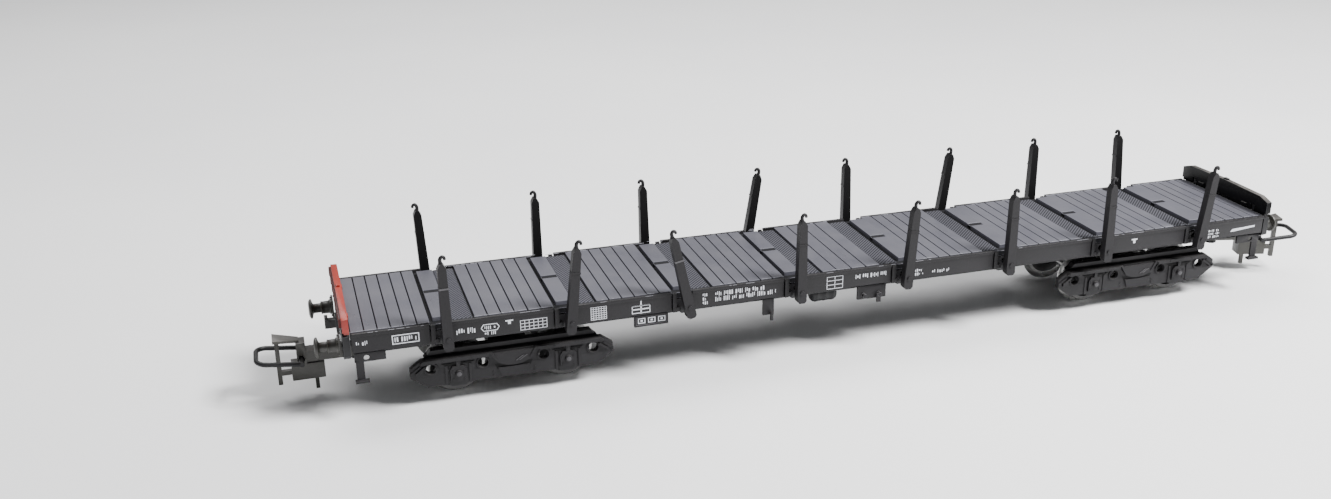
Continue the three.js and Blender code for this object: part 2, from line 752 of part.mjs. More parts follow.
function bufferGeometry() {
  const start = HEAD.outer + GAP;
  const collarEnd = start + BUFFER.collarLength;
  const profile = [
    [0, start], [BUFFER.collarRadius, start], [BUFFER.collarRadius, collarEnd],
    [BUFFER.barrelRadius, collarEnd], [BUFFER.barrelRadius, BUFFER.neck],
    [BUFFER.headRadius, BUFFER.headBack], [BUFFER.headRadius, BUFFER.face - BUFFER.rim],
    [BUFFER.faceRadius, BUFFER.face], [0, BUFFER.face],
  ];
  const barrel = turned(profile, 12);
  barrel.rotateZ(-Math.PI / 2);
  const plate = block([start, start + BUFFER.plateThickness], both(BUFFER.plate), both(BUFFER.plate));
  return geometryOf(solid(barrel).add(plate));
}

function wallGeometry() {
  const outline = [
    [-WALL.halfWidth, WALL.bottom], [WALL.halfWidth, WALL.bottom], [WALL.halfWidth, WALL.cornerTop],
    [WALL.slopeHalf, WALL.slopeTop], [0, WALL.middleTop], [-WALL.slopeHalf, WALL.slopeTop],
    [-WALL.halfWidth, WALL.cornerTop],
  ];
  let wall = alongPrism(outline, [WALL.inner, WALL.outer]);
  wall = wall.add(block([WALL.inner, WALL.skirtOuter], both(WALL.skirtHalf),
    [WALL.skirtBottom, WALL.bottom + SINK]));
  const rail = [WALL.outer - SINK, WALL.outer + WALL.railProud];
  for (const heights of [WALL.upperRail, WALL.lowerRail]) {
    wall = wall.add(block(rail, both(WALL.railHalf), heights));
  }
  for (const y of WALL.ribs) {
    wall = wall.add(block([WALL.outer - SINK, WALL.outer + WALL.ribProud],
      [y - WALL.ribHalf, y + WALL.ribHalf], WALL.ribHeights));
  }
  wall = wall.add(block([WALL.inner + GAP, WALL.outer - GAP], both(WALL.latchHalf), WALL.latchHeights));
  for (const side of [-1, 1]) {
    const slot = outwards(side, EAR.inner - GAP, EAR.outer + GAP);
    const pin = outwards(side, EAR.inner - EAR.pinReach, EAR.outer + EAR.pinReach);
    const stop = [side * WALL.stopCentre - WALL.stopHalf, side * WALL.stopCentre + WALL.stopHalf];
    wall = wall.subtract(block([WALL.inner - 1, WALL.outer + 1], slot,
      [WALL.bottom - 1, WALL.bottom + EAR.slotRise]));
    wall = wall.add(bar('y', [WALL.pivot, WALL.bottom], pin, WALL.pinRadius, 6));
    wall = wall.add(block([WALL.inner - WALL.stopReach, WALL.inner + SINK], stop,
      [WALL.bottom, WALL.bottom + WALL.stopRise]));
  }
  return geometryOf(wall);
}

function stepGeometry() {
  const hole = bar('y', STEP.hole, [STEP.skin[0] - 1, STEP.skin[1] + 1], STEP.holeRadius, 10);
  const plate = block(STEP.plate, STEP.skin, [STEP.plateBottom, HANG]).subtract(hole);
  const leg = block(STEP.leg, STEP.skin, STEP.legHeights);
  return geometryOf(plate.add(leg).add(block(STEP.tread, STEP.treadSkin, STEP.treadHeights)));
}

function makeEnds() {
  const headstock = headstockGeometry();
  const buffer = bufferGeometry();
  const wall = wallGeometry();
  for (const [end, angle, wallPaint] of [['right', 0, paint.black()], ['left', Math.PI, paint.brickRed()]]) {
    add(`headstock_${end}`, headstock, paint.black()).rotation.z = angle;
    add(`end_wall_${end}`, wall, wallPaint).rotation.z = angle;
    for (const [side, y] of [['near', -BUFFER.spread], ['far', BUFFER.spread]]) {
      const piece = add(`buffer_${end}_${side}`, buffer, paint.black());
      piece.position.set(0, y, BUFFER.height);
      piece.rotation.z = angle;
    }
  }
}

// One step at each corner: two of them are the mirror image of the other two
function makeSteps() {
  const step = stepGeometry();
  const mirrored = outward(step.clone().applyMatrix4(new THREE.Matrix4().makeScale(-1, 1, 1)));
  add('end_step_right_near', step, paint.black());
  add('end_step_left_far', step, paint.black()).rotation.z = Math.PI;
  add('end_step_left_near', mirrored, paint.black());
  add('end_step_right_far', mirrored, paint.black()).rotation.z = Math.PI;
}

// ---------------------------------------------------------------- couplers

// Both pieces are drawn from the swing pivot, with the head towards +X
function couplerHeadGeometry() {
  const parts = [COUPLER.weight, COUPLER.upright, COUPLER.post, COUPLER.brace, COUPLER.tail];
  const { shank, hookPlate } = COUPLER;
  let head = block(shank.along, both(shank.half), shank.heights);
  for (const part of parts) {
    head = head.add(block(part.along, both(part.half), part.heights));
  }
  head = head.add(upPrism([
    [hookPlate.root, -hookPlate.rootHalf], [hookPlate.tip, -hookPlate.tipHalf],
    [hookPlate.tip, hookPlate.tipHalf], [hookPlate.root, hookPlate.rootHalf],
  ], hookPlate.heights).warp((point) => {
    point[2] += hookPlate.slope * (point[0] - hookPlate.root);
  }));
  const swingHole = bar('z', [0, 0], [shank.heights[0] - 1, shank.heights[1] + 1], COUPLER.boss, 8);
  const loopHole = bar('y', [LOOP.pivot, LOOP.height], both(COUPLER.upright.half + 1), LOOP.rod + GAP, 8);
  return geometryOf(head.subtract(swingHole).subtract(loopHole));
}

// A bow of round rod, closed by the pin that it turns on, resting with its end raised
function couplerLoopGeometry() {
  const { half, corner, rod, tilt } = LOOP;
  const reach = LOOP.reach - LOOP.pivot;
  const bow = new THREE.CurvePath();
  const line = (from, to) => bow.add(new THREE.LineCurve3(from, to));
  const bend = (from, over, to) => bow.add(new THREE.QuadraticBezierCurve3(from, over, to));
  const at = (x, y) => new THREE.Vector3(x, y, 0);
  const straight = reach - corner;
  const across = half - corner;
  line(at(0, -half), at(straight, -half));
  bend(at(straight, -half), at(reach, -half), at(reach, -across));
  line(at(reach, -across), at(reach, across));
  bend(at(reach, across), at(reach, half), at(straight, half));
  line(at(straight, half), at(0, half));
  const pin = bar('y', [0, 0], both(half + rod), rod, 8);
  const loop = wire(bow, rod, 8, 18).add(pin).rotate([0, -tilt, 0]);
  return geometryOf(loop.translate([LOOP.pivot, 0, LOOP.height]));
}

function makeCouplers() {
  const pieces = { head: couplerHeadGeometry(), loop: couplerLoopGeometry() };
  const ends = [['left', -COUPLER.pivot, Math.PI], ['right', COUPLER.pivot, COUPLER.rightSwing * DEGREE]];
  for (const [end, x, angle] of ends) {
    for (const [name, geometry] of Object.entries(pieces)) {
      const piece = add(`coupler_${name}_${end}`, geometry, paint.black());
      piece.position.x = x;
      piece.rotation.z = angle;
    }
  }
}

makeDeck();
makeSills();
makeStakes();
makeUnderframe();
makeFittings();
makeBogies();
makeEnds();
makeSteps();
makeCouplers();

export default car;
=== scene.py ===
# Looks of the H0 stake flat car. Lengths are in millimetres until they reach Blender, in the frame
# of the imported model: X along the car, -Y the near side, Z up, the wheel flanges' bottom at zero.
import json
import math
import random

import bmesh
import bpy
from mathutils import Matrix, Vector


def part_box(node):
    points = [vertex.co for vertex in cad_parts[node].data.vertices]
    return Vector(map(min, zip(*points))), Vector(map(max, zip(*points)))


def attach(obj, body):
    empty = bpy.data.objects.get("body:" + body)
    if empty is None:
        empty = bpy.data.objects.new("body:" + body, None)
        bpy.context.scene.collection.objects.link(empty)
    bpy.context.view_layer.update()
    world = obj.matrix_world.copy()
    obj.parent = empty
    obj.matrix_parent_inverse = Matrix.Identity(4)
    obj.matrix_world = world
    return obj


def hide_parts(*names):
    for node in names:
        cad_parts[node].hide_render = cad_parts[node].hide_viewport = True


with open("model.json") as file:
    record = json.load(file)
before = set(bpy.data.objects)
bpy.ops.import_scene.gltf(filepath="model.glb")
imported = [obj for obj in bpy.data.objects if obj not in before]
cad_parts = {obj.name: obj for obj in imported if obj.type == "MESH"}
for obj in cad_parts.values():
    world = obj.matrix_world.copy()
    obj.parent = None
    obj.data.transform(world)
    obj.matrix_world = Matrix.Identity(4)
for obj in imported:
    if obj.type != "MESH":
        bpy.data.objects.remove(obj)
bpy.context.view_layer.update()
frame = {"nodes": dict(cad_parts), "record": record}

MM = 0.001
SEED = 87
RECORD = frame["record"]
BODY_OF = {node: body for body, nodes in RECORD["behaviour"]["bodies"].items() for node in nodes}
SLOT_OF = {part["node"]: part["material_slot"] for part in RECORD["subparts"]}
STATIONS = (-88.55, -63.25, -37.95, -12.65, 12.65, 37.95, 63.25, 88.55)
ENDS = (("left", -1), ("right", 1))
SIDES = (("near", -1), ("far", 1))


# ---------------------------------------------------------------- colours and materials

def srgb(red, green, blue):
    """A linear colour from 0-255 screen values."""
    def linear(value):
        value /= 255
        return value / 12.92 if value <= 0.04045 else ((value + 0.055) / 1.055) ** 2.4
    return (linear(red), linear(green), linear(blue), 1.0)


def shade(colour, factor):
    return tuple(channel * factor for channel in colour[:3]) + (1.0,)


class Tree:
    """A material's node tree with short ways to add what the materials here share."""

    def __init__(self, name):
        self.material = bpy.data.materials.new(name)
        self.material.use_nodes = True
        self.nodes = self.material.node_tree.nodes
        self.links = self.material.node_tree.links
        self.shader = self.nodes["Principled BSDF"]

    def feed(self, socket, value):
        if isinstance(value, bpy.types.NodeSocket):
            self.links.new(value, socket)
        else:
            socket.default_value = value

    def add(self, kind, **inputs):
        node = self.nodes.new(kind)
        for key, value in inputs.items():
            self.feed(node.inputs[key.replace("_", " ")], value)
        return node

    def noise(self, scale, detail=3.0, stretch=(1, 1, 1), roughness=0.55):
        """Noise with scale features per metre, stretched along an axis where its factor is below 1."""
        coordinates = self.nodes.new("ShaderNodeTexCoord")
        mapping = self.add("ShaderNodeMapping", Vector=coordinates.outputs["Object"], Scale=stretch)
        return self.add("ShaderNodeTexNoise", Vector=mapping.outputs[0], Scale=scale, Detail=detail,
                        Roughness=roughness).outputs[0]

    def span(self, value, low, high, start=0.35, end=0.65):
        node = self.nodes.new("ShaderNodeMapRange")
        for key, number in (("Value", value), ("From Min", start), ("From Max", end),
                            ("To Min", low), ("To Max", high)):
            self.feed(node.inputs[key], number)
        return node.outputs[0]

    def mix(self, factor, first, second):
        node = self.nodes.new("ShaderNodeMix")
        node.data_type = "RGBA"
        for index, value in ((0, factor), (6, first), (7, second)):
            self.feed(node.inputs[index], value)
        return node.outputs[2]

    def times(self, first, second):
        node = self.nodes.new("ShaderNodeMath")
        node.operation = "MULTIPLY"
        self.feed(node.inputs[0], first)
        self.feed(node.inputs[1], second)
        return node.outputs[0]

    def facing_up(self):
        """1 on faces that look up, 0 on those that look sideways or down."""
        geometry = self.nodes.new("ShaderNodeNewGeometry")
        parts = self.add("ShaderNodeSeparateXYZ", Vector=geometry.outputs["Normal"])
        return self.span(parts.outputs["Z"], 0.0, 1.0, 0.55, 0.95)

    def bump(self, height, strength, distance, under=None):
        node = self.add("ShaderNodeBump", Height=height, Strength=strength, Distance=distance)
        if under is not None:
            self.links.new(under, node.inputs["Normal"])
        return node.outputs[0]


def plastic(name, colour, roughness=0.5, contrast=0.12, grain=0.25, grain_scale=2600, stretch=(1, 1, 1),
            dust_and_top_light=0.10, dust_and_top_light_colour=srgb(150, 146, 142), shine=0.5):
    """Moulded satin plastic: cloudy tone, fine grain, handling scratches, and a lighter tone in patches on
    what faces up: dusty on most colours, a painted light on the red's tops.
    """
    tree = Tree(name)
    clouds = tree.noise(38, 4)
    speckle = tree.noise(grain_scale, 2, stretch)
    scratches = tree.noise(900, 2, (0.05, 1, 1), 0.7)
    base = tree.mix(tree.span(clouds, 0, 1), shade(colour, 1 - contrast), shade(colour, 1 + contrast))
    base = tree.mix(tree.span(speckle, 0, 0.5), base, shade(colour, 1 + 2.2 * contrast))
    if dust_and_top_light:
        patches = tree.span(tree.noise(160, 5, roughness=0.65), 0.25, 1.0)
        base = tree.mix(tree.times(tree.times(tree.facing_up(), patches), dust_and_top_light), base, dust_and_top_light_colour)
    tree.feed(tree.shader.inputs["Base Color"], base)
    tree.feed(tree.shader.inputs["Roughness"], tree.span(clouds, roughness - 0.07, roughness + 0.09))
    tree.feed(tree.shader.inputs["Specular IOR Level"], shine)
    fine = tree.bump(speckle, grain, 0.00004)
    tree.feed(tree.shader.inputs["Normal"], tree.bump(scratches, 0.12, 0.00003, fine))
    return tree.material


def metal(name, colour, roughness=0.28, ring_pitch=None, tarnish=0.3):
    """Turned or plated metal, with tool rings about the local Y axis where a pitch is given."""
    tree = Tree(name)
    clouds = tree.noise(220, 4)
    fine = tree.noise(4200, 2)
    base = tree.mix(tree.span(clouds, 0, tarnish), colour, shade(colour, 0.55))
    tree.feed(tree.shader.inputs["Base Color"], base)
    tree.feed(tree.shader.inputs["Metallic"], 1.0)
    tree.feed(tree.shader.inputs["Roughness"], tree.span(clouds, roughness - 0.06, roughness + 0.14))
    normal = tree.bump(fine, 0.10, 0.00003)
    if ring_pitch:
        coordinates = tree.nodes.new("ShaderNodeTexCoord")
        wave = tree.add("ShaderNodeTexWave", Vector=coordinates.outputs["Object"],
                        Scale=1 / (20 * ring_pitch * MM), Distortion=0.4)
        wave.wave_type = "RINGS"
        wave.rings_direction = "Y"
        normal = tree.bump(wave.outputs[1], 0.25, 0.00003, normal)
    tree.feed(tree.shader.inputs["Normal"], normal)
    return tree.material


DECK_GREY = srgb(80, 80, 88)
CHARCOAL = srgb(30, 29, 31)
BLACK = srgb(22, 22, 24)
OLIVE = srgb(47, 46, 42)
BRICK_RED = srgb(130, 31, 21)

# The looks for rounded edges are lighter copies of their colours: partly worn, partly a painted highlight.
LOOKS = {
    "deck": plastic("deck_plastic", DECK_GREY, 0.31, 0.06, 0.30, 3200, (1, 0.10, 1), 0.08),
    "deck_lit_edge": plastic("deck_lit_edge", shade(DECK_GREY, 1.35), 0.4, 0.05, 0.2, 3200, (1, 0.1, 1), 0.08),
    # a near-black copy of the deck grey: painted shade in the grooves between planks and in the bolsters'
    # splits
    "deck_gap_shade": plastic("deck_gap_shade", shade(DECK_GREY, 0.1), 0.7, 0.1, 0.3, dust_and_top_light=0.02, shine=0.15),
    "tread": plastic("tread_plastic", shade(DECK_GREY, 0.22), 0.6, 0.08, 0.4, 2600, dust_and_top_light=0.02, shine=0.2),
    "tread_rib": plastic("tread_rib_plastic", shade(DECK_GREY, 0.8), 0.5, 0.08, 0.4, 2600, dust_and_top_light=0.05,
                         shine=0.3),
    "charcoal": plastic("charcoal_plastic", CHARCOAL, 0.46, 0.15, 0.35, dust_and_top_light=0.05, shine=0.22),
    "charcoal_lit_edge": plastic("charcoal_lit_edge", shade(CHARCOAL, 4.0), 0.42, 0.1, 0.3, dust_and_top_light=0.1),
    "bogie": plastic("bogie_plastic", shade(CHARCOAL, 0.9), 0.5, 0.18, 0.35, dust_and_top_light=0.10, shine=0.25),
    "bogie_lit_edge": plastic("bogie_lit_edge", shade(CHARCOAL, 3.0), 0.45, 0.1, 0.3, dust_and_top_light=0.1),
    # a dark copy of the charcoal: painted shade in the bogies' slots and gaps and on the stakes' inner faces
    "charcoal_shade": plastic("charcoal_shade", shade(CHARCOAL, 0.25), 0.6, 0.1, 0.3, dust_and_top_light=0.03, shine=0.2),
    "black": plastic("black_plastic", BLACK, 0.42, 0.12, 0.3, dust_and_top_light=0.08, shine=0.3),
    "black_lit_edge": plastic("black_lit_edge", shade(BLACK, 5.0), 0.4, 0.1, 0.25, dust_and_top_light=0.1),
    # black darkened further for the right end wall: a painted shade
    "shaded_black_wall": plastic("shaded_black_wall_plastic", shade(BLACK, 0.35), 0.4, 0.1, 0.3, dust_and_top_light=0.35, shine=0.1),
    "olive": plastic("olive_plastic", OLIVE, 0.42, 0.12, 0.3, dust_and_top_light=0.35, dust_and_top_light_colour=srgb(128, 124, 124)),
    "olive_lit_edge": plastic("olive_lit_edge", shade(OLIVE, 3.0), 0.4, 0.1, 0.3),
    # on the red the lighter tone on what faces up is a brighter red: a painted light on the wall's tops
    "red": plastic("brick_red_plastic", BRICK_RED, 0.42, 0.10, 0.3, dust_and_top_light=0.30,
                   dust_and_top_light_colour=srgb(190, 66, 44)),
    "red_shade": plastic("shaded_red_plastic", shade(BRICK_RED, 0.45), 0.5, 0.12, 0.3, dust_and_top_light=0.05, shine=0.3),
    "red_lit_edge": plastic("red_lit_edge", shade(BRICK_RED, 1.5), 0.4, 0.08, 0.25, dust_and_top_light=0.05),
    "wheel": metal("turned_nickel", (0.55, 0.55, 0.54, 1), 0.30, 0.10, 0.35),
    # near-black copies of the wheel metal for the rims' outer faces and the webs: painted shade under the car
    "wheel_rim_shade": metal("shaded_rim_face", (0.07, 0.07, 0.07, 1), 0.40, 0.12, 0.5),
    "wheel_web_shade": metal("shaded_web", (0.05, 0.05, 0.05, 1), 0.45, 0.16, 0.6),
    "steel": metal("plain_steel", (0.35, 0.35, 0.36, 1), 0.34, None, 0.4),
    # a light grey for painted highlight spots along the deck's and the sills' edges
    "edge_glint": plastic("edge_glint_plastic", srgb(150, 150, 158), 0.5, 0.1, 0.3, dust_and_top_light=0.05),
    "print": plastic("white_print", srgb(205, 207, 213), 0.5, 0.06, 0.5, 1500, dust_and_top_light=0),
}


# ---------------------------------------------------------------- mesh helpers, in millimetres

def add_solid(bm, rings, material=0):
    """A closed solid between two matching rings of points."""
    low, high = ([bm.verts.new(Vector(point) * MM) for point in ring] for ring in rings)
    count = len(low)
    faces = [bm.faces.new(low[::-1]), bm.faces.new(high)]
    for i in range(count):
        j = (i + 1) % count
        faces.append(bm.faces.new((low[i], low[j], high[j], high[i])))
    for face in faces:
        face.material_index = material
    return low + high


def add_box(bm, x, y, z, material=0):
    corners = [(x[0], y[0]), (x[1], y[0]), (x[1], y[1]), (x[0], y[1])]
    return add_solid(bm, [[(u, v, height) for u, v in corners] for height in z], material)


def add_prism(bm, outline, y, material=0):
    """An outline of (x, z) points carried across the car."""
    return add_solid(bm, [[(u, across, v) for u, v in outline] for across in y], material)


def ring_about(axis, centre, place, radius, sides):
    """Points round an axis, at a place along it."""
    ring = []
    for i in range(sides):
        angle = 2 * math.pi * i / sides
        u = centre[0] + radius * math.cos(angle)
        v = centre[1] + radius * math.sin(angle)
        ring.append({"x": (place, u, v), "y": (u, place, v), "z": (u, v, place)}[axis])
    return ring


def add_rod(bm, axis, centre, reach, radius, sides):
    """A round rod along an axis."""
    return add_solid(bm, [ring_about(axis, centre, place, radius, sides) for place in reach])


def add_lathe(bm, profile, sides, axis="y", centre=(0, 0), close=False):
    """A profile of (radius, place, material) points turned about an axis."""
    rings = []
    for radius, place, _ in profile:
        points = ring_about(axis, centre, place, radius, sides if radius > 0 else 1)
        rings.append([bm.verts.new(Vector(point) * MM) for point in points])
    pairs = list(zip(rings, rings[1:]))
    if close:
        pairs.append((rings[-1], rings[0]))
    for index, (one, two) in enumerate(pairs):
        for i in range(sides):
            j = (i + 1) % sides
            if len(one) == 1:
                corners = (one[0], two[j], two[i])
            elif len(two) == 1:
                corners = (one[i], one[j], two[0])
            else:
                corners = (one[i], one[j], two[j], two[i])
            bm.faces.new(corners).material_index = profile[index][2]


def add_tube(bm, path, radius, sides=14, closed=False, taper=None):
    """A round rod that follows a path of points, with round ends."""
    points = [Vector(point) for point in path]
    count = len(points)
    rings = []
    side = None
    for i, point in enumerate(points):
        before = points[i - 1] if i or closed else point
        after = points[(i + 1) % count] if i < count - 1 or closed else point
        along = (after - before).normalized()
        if side is None:
            side = along.orthogonal().normalized()
        side = (side - along * side.dot(along)).normalized()
        other = along.cross(side)
        size = radius if taper is None else taper(i / (count - 1))
        ring = []
        for k in range(sides):
            angle = 2 * math.pi * k / sides
            outwards = side * math.cos(angle) + other * math.sin(angle)
            ring.append(bm.verts.new((point + outwards * size) * MM))
        rings.append(ring)
    spans = list(zip(rings, rings[1:])) + ([(rings[-1], rings[0])] if closed else [])
    for one, two in spans:
        for k in range(sides):
            j = (k + 1) % sides
            bm.faces.new((one[k], one[j], two[j], two[k]))
    if not closed:
        bm.faces.new(rings[0][::-1])
        bm.faces.new(rings[-1])


def circle(x, z, radius, sides=28):
    return [(x + radius * math.cos(2 * math.pi * i / sides), z + radius * math.sin(2 * math.pi * i / sides))
            for i in range(sides)]


def add_plate(bm, outlines, y, round_edge, material=0):
    """A plate between two distances across the car, with rounded edges; holes follow the outline."""
    curve = bpy.data.curves.new("outline", "CURVE")
    curve.dimensions = "2D"
    curve.fill_mode = "BOTH"
    thickness = abs(y[1] - y[0])
    curve.bevel_depth = round_edge * MM
    curve.bevel_resolution = 1
    curve.offset = -round_edge * MM
    curve.extrude = (thickness / 2 - round_edge) * MM
    for points in outlines:
        spline = curve.splines.new("POLY")
        spline.points.add(len(points) - 1)
        for target, (u, v) in zip(spline.points, points):
            target.co = (u * MM, v * MM, 0, 1)
        spline.use_cyclic_u = True
    holder = bpy.data.objects.new("outline", curve)
    bpy.context.scene.collection.objects.link(holder)
    mesh = bpy.data.meshes.new_from_object(holder.evaluated_get(bpy.context.evaluated_depsgraph_get()))
    mesh.transform(Matrix.Translation((0, (y[0] + y[1]) / 2 * MM, 0)) @ Matrix.Rotation(math.pi / 2, 4, "X"))
    for polygon in mesh.polygons:
        polygon.material_index = material
    bm.from_mesh(mesh)
    bpy.data.objects.remove(holder)
    bpy.data.curves.remove(curve)
    bpy.data.meshes.remove(mesh)


def turn_round(bm, verts):
    """Half a turn about the vertical axis, which carries the near side's details to the far side."""
    bmesh.ops.rotate(bm, cent=(0, 0, 0), matrix=Matrix.Rotation(math.pi, 3, "Z"), verts=verts)


def add_turned_copy(bm):
    """The same again, half a turn round."""
    copy = bmesh.ops.duplicate(bm, geom=bm.verts[:] + bm.edges[:] + bm.faces[:])
    turn_round(bm, [item for item in copy["geom"] if isinstance(item, bmesh.types.BMVert)])


def piece(name, bm, looks, node=None, body=None, slot=None, bevel=None, place=None, edge=None, segments=2,
          angle=35):
    """Makes a mesh ride on its body, and stand for its CAD node where it has one."""
    bmesh.ops.remove_doubles(bm, verts=bm.verts, dist=1e-7)
    bmesh.ops.recalc_face_normals(bm, faces=bm.faces)
    mesh = bpy.data.meshes.new(name)
    bm.to_mesh(mesh)
    bm.free()
    mesh.shade_smooth()
    obj = bpy.data.objects.new(name, mesh)
    bpy.context.scene.collection.objects.link(obj)
    for look in looks:
        mesh.materials.append(LOOKS[look])
    if place is not None:
        mesh.transform(place.to_3x3().to_4x4())
        obj.location = place.to_translation()
    if bevel:
        modifier = obj.modifiers.new("edges", "BEVEL")
        modifier.width = bevel * MM
        modifier.segments = segments
        modifier.limit_method = "ANGLE"
        modifier.angle_limit = math.radians(angle)
        modifier.harden_normals = True
        # the rounded edges take the edge look, a lighter copy of the colour: partly worn, partly a painted
        # highlight
        if edge is not None:
            mesh.materials.append(LOOKS[edge])
            modifier.material = len(looks)
    else:
        mesh.set_sharp_from_angle(angle=math.radians(angle))
    bpy.context.view_layer.update()
    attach(obj, body or BODY_OF[node])
    if node:
        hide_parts(node)
    slot or SLOT_OF[node]
    return obj


def refined(node, look, edge, width=0.09, extra=None, outer=None):
    """The CAD node's own shape with its flat faces joined, its edges rounded and details added.

    outer is a look for what stands further out along the car than a given distance."""
    bm = bmesh.new()
    bm.from_mesh(frame["nodes"][node].data)
    bmesh.ops.remove_doubles(bm, verts=bm.verts, dist=1e-6)
    bmesh.ops.dissolve_limit(bm, angle_limit=math.radians(1), verts=bm.verts, edges=bm.edges)
    for face in bm.faces:
        face.material_index = 1 if outer and abs(face.calc_center_median().x) > outer[1] * MM else 0
    if extra:
        extra(bm)
    looks = [look, outer[0]] if outer else [look]
    return piece(f"look_{node}", bm, looks, node=node, bevel=width, edge=edge)


# ---------------------------------------------------------------- deck

DECK_HALF = (107.2, 14.6)
DECK_TOP = 19.1
DECK_BOTTOM = 17.3
BED_TOP = 18.5                     # the slab under the planks
GROOVE = 0.26
BOARD_SINK = 0.05                  # how deep the boards stand in the slab
BED_INSET = 0.1
TOP_WANDER = 0.025                 # planks differ in height by up to this much
BOLSTER = {"out": 3.0, "in": 1.2, "top": 19.4, "half": 13.0, "split": (0.1, 1.7), "gap": 0.6,
           "split_sink": 0.16}
TREAD = {"width": 4.6, "top": 18.6, "pitch": 0.85, "rib": 0.22, "rise": 0.14, "lean": 45, "border": 0.7}
BAY_PLANKS = 6
MIDDLE_PLANKS = 4


def station_ranges(x):
    """The bolster's and the tread plate's ranges along the car."""
    out, inward = BOLSTER["out"], BOLSTER["in"]
    if x < 0:
        return (x - out, x + inward), (x + inward, x + inward + TREAD["width"])
    return (x - inward, x + out), (x - inward - TREAD["width"], x - inward)


def plank_ranges():
    edges = []
    start = -DECK_HALF[0]
    for x in STATIONS:
        pair = sorted(station_ranges(x))
        count = MIDDLE_PLANKS if x > 0 and start < 0 else BAY_PLANKS
        edges.append((start, pair[0][0], count))
        start = pair[1][1]
    edges.append((start, DECK_HALF[0], BAY_PLANKS))
    for low, high, count in edges:
        pitch = (high - low) / count
        for i in range(count):
            yield low + i * pitch, low + (i + 1) * pitch


def clipped_rib(x_range, y_range, offset, lean, width):
    """A slanted rib's corners, cut to the tread plate's rectangle, or nothing where it misses it."""
    slope = math.tan(math.radians(lean))
    low = max(x_range[0], x_range[0] + (y_range[0] - offset) / slope)
    high = min(x_range[1], x_range[0] + (y_range[1] - offset) / slope)
    if high - low < width:
        return None
    across = width / 2 / math.cos(math.radians(lean))
    start, end = (offset + slope * (x - x_range[0]) for x in (low, high))
    return [(low, start - across), (high, end - across), (high, end + across), (low, start + across)]


def make_deck():
    rng = random.Random(SEED)
    bm = bmesh.new()
    # the slab under the planks is in the near-black look, so the grooves between planks show a painted shade
    add_box(bm, (-DECK_HALF[0], DECK_HALF[0]), (-DECK_HALF[1] + BED_INSET, DECK_HALF[1] - BED_INSET),
            (DECK_BOTTOM, BED_TOP), 1)
    gap = GROOVE / 2
    for low, high in plank_ranges():
        top = DECK_TOP - rng.uniform(0, TOP_WANDER)
        left = 0 if low <= -DECK_HALF[0] + 0.01 else gap
        right = 0 if high >= DECK_HALF[0] - 0.01 else gap
        add_box(bm, (low + left, high - right), (-DECK_HALF[1], DECK_HALF[1]), (BED_TOP - BOARD_SINK, top))
    for x in STATIONS:
        (low, high), (start, end) = station_ranges(x)
        for y in ((-BOLSTER["half"], BOLSTER["split"][0]), (BOLSTER["split"][1], BOLSTER["half"])):
            add_box(bm, (low + BOLSTER["gap"], high - gap), y, (BED_TOP - BOARD_SINK, BOLSTER["top"]))
        # the split between the bolster's halves is filled in the same near-black look: a painted shade
        add_box(bm, (low + BOLSTER["gap"], high - gap), BOLSTER["split"],
                (BED_TOP - BOARD_SINK, BOLSTER["top"] - BOLSTER["split_sink"]), 1)
        add_box(bm, (start + gap, end - gap), (-DECK_HALF[1], DECK_HALF[1]),
                (BED_TOP - BOARD_SINK, TREAD["top"]), 2)
    piece("deck_boards", bm, ["deck", "deck_gap_shade", "tread"], node="deck", bevel=0.09, edge="deck_lit_edge")

    ribs = bmesh.new()
    half = DECK_HALF[1] - TREAD["border"]
    for x in STATIONS:
        start, end = station_ranges(x)[1]
        offset = -half - TREAD["width"]
        while offset < half:
            corners = clipped_rib((start + 0.3, end - 0.3), (-half, half), offset,
                                  TREAD["lean"], TREAD["rib"])
            if corners:
                low, high = TREAD["top"] - 0.02, TREAD["top"] + TREAD["rise"]
                add_solid(ribs, [[(u, v, z) for u, v in corners] for z in (low, high)])
            offset += TREAD["pitch"]
    piece("deck_tread_ribs", ribs, ["tread_rib"], body="chassis", slot="deck_grey")


# ---------------------------------------------------------------- side sills and their print

SILL_FACE = 15.3
SILL_LIP = {"out": 0.25, "top": 19.0}


def make_sills():
    for side, _ in SIDES:
        refined(f"side_sill_{side}", "charcoal", "charcoal_lit_edge", 0.07)


PRINT_RISE = 0.03
PRINT_ROOT = 0.02


def print_layer(face):
    """From just proud of a face to just inside it."""
    return -face - PRINT_RISE, -face + PRINT_ROOT


def print_block(bm, x, z, face):
    add_box(bm, x, print_layer(face), z)


def print_strokes(bm, rng, x, z, face):
    """Small groups of upright bars of uneven width: a stand-in for painted words."""
    place = x[0]
    left = rng.randint(2, 4)
    while place < x[1] - 0.15:
        width = rng.choice((0.13, 0.16, 0.2, 0.3))
        low = z[0] + rng.choice((0, 0, 0.25)) * (z[1] - z[0])
        high = z[1] - rng.choice((0, 0, 0.25)) * (z[1] - z[0])
        print_block(bm, (place, min(place + width, x[1])), (low, high), face)
        left -= 1
        place += width + (0.22 if left else 0.62)
        left = left or rng.randint(2, 5)


def print_outline(bm, points, face, line=0.15):
    """A closed line drawn round the points."""
    for start, end in zip(points, points[1:] + points[:1]):
        along = (Vector(end) - Vector(start)).normalized()
        across = Vector((-along.y, along.x)) * line / 2
        corners = [Vector(start) - across, Vector(end) - across, Vector(end) + across, Vector(start) + across]
        add_prism(bm, [tuple(corner) for corner in corners], print_layer(face))


def print_frame(bm, x, z, face, line=0.14):
    print_block(bm, x, (z[1] - line, z[1]), face)
    print_block(bm, x, (z[0], z[0] + line), face)
    print_block(bm, (x[0], x[0] + line), (z[0] + line, z[1] - line), face)
    print_block(bm, (x[1] - line, x[1]), (z[0] + line, z[1] - line), face)


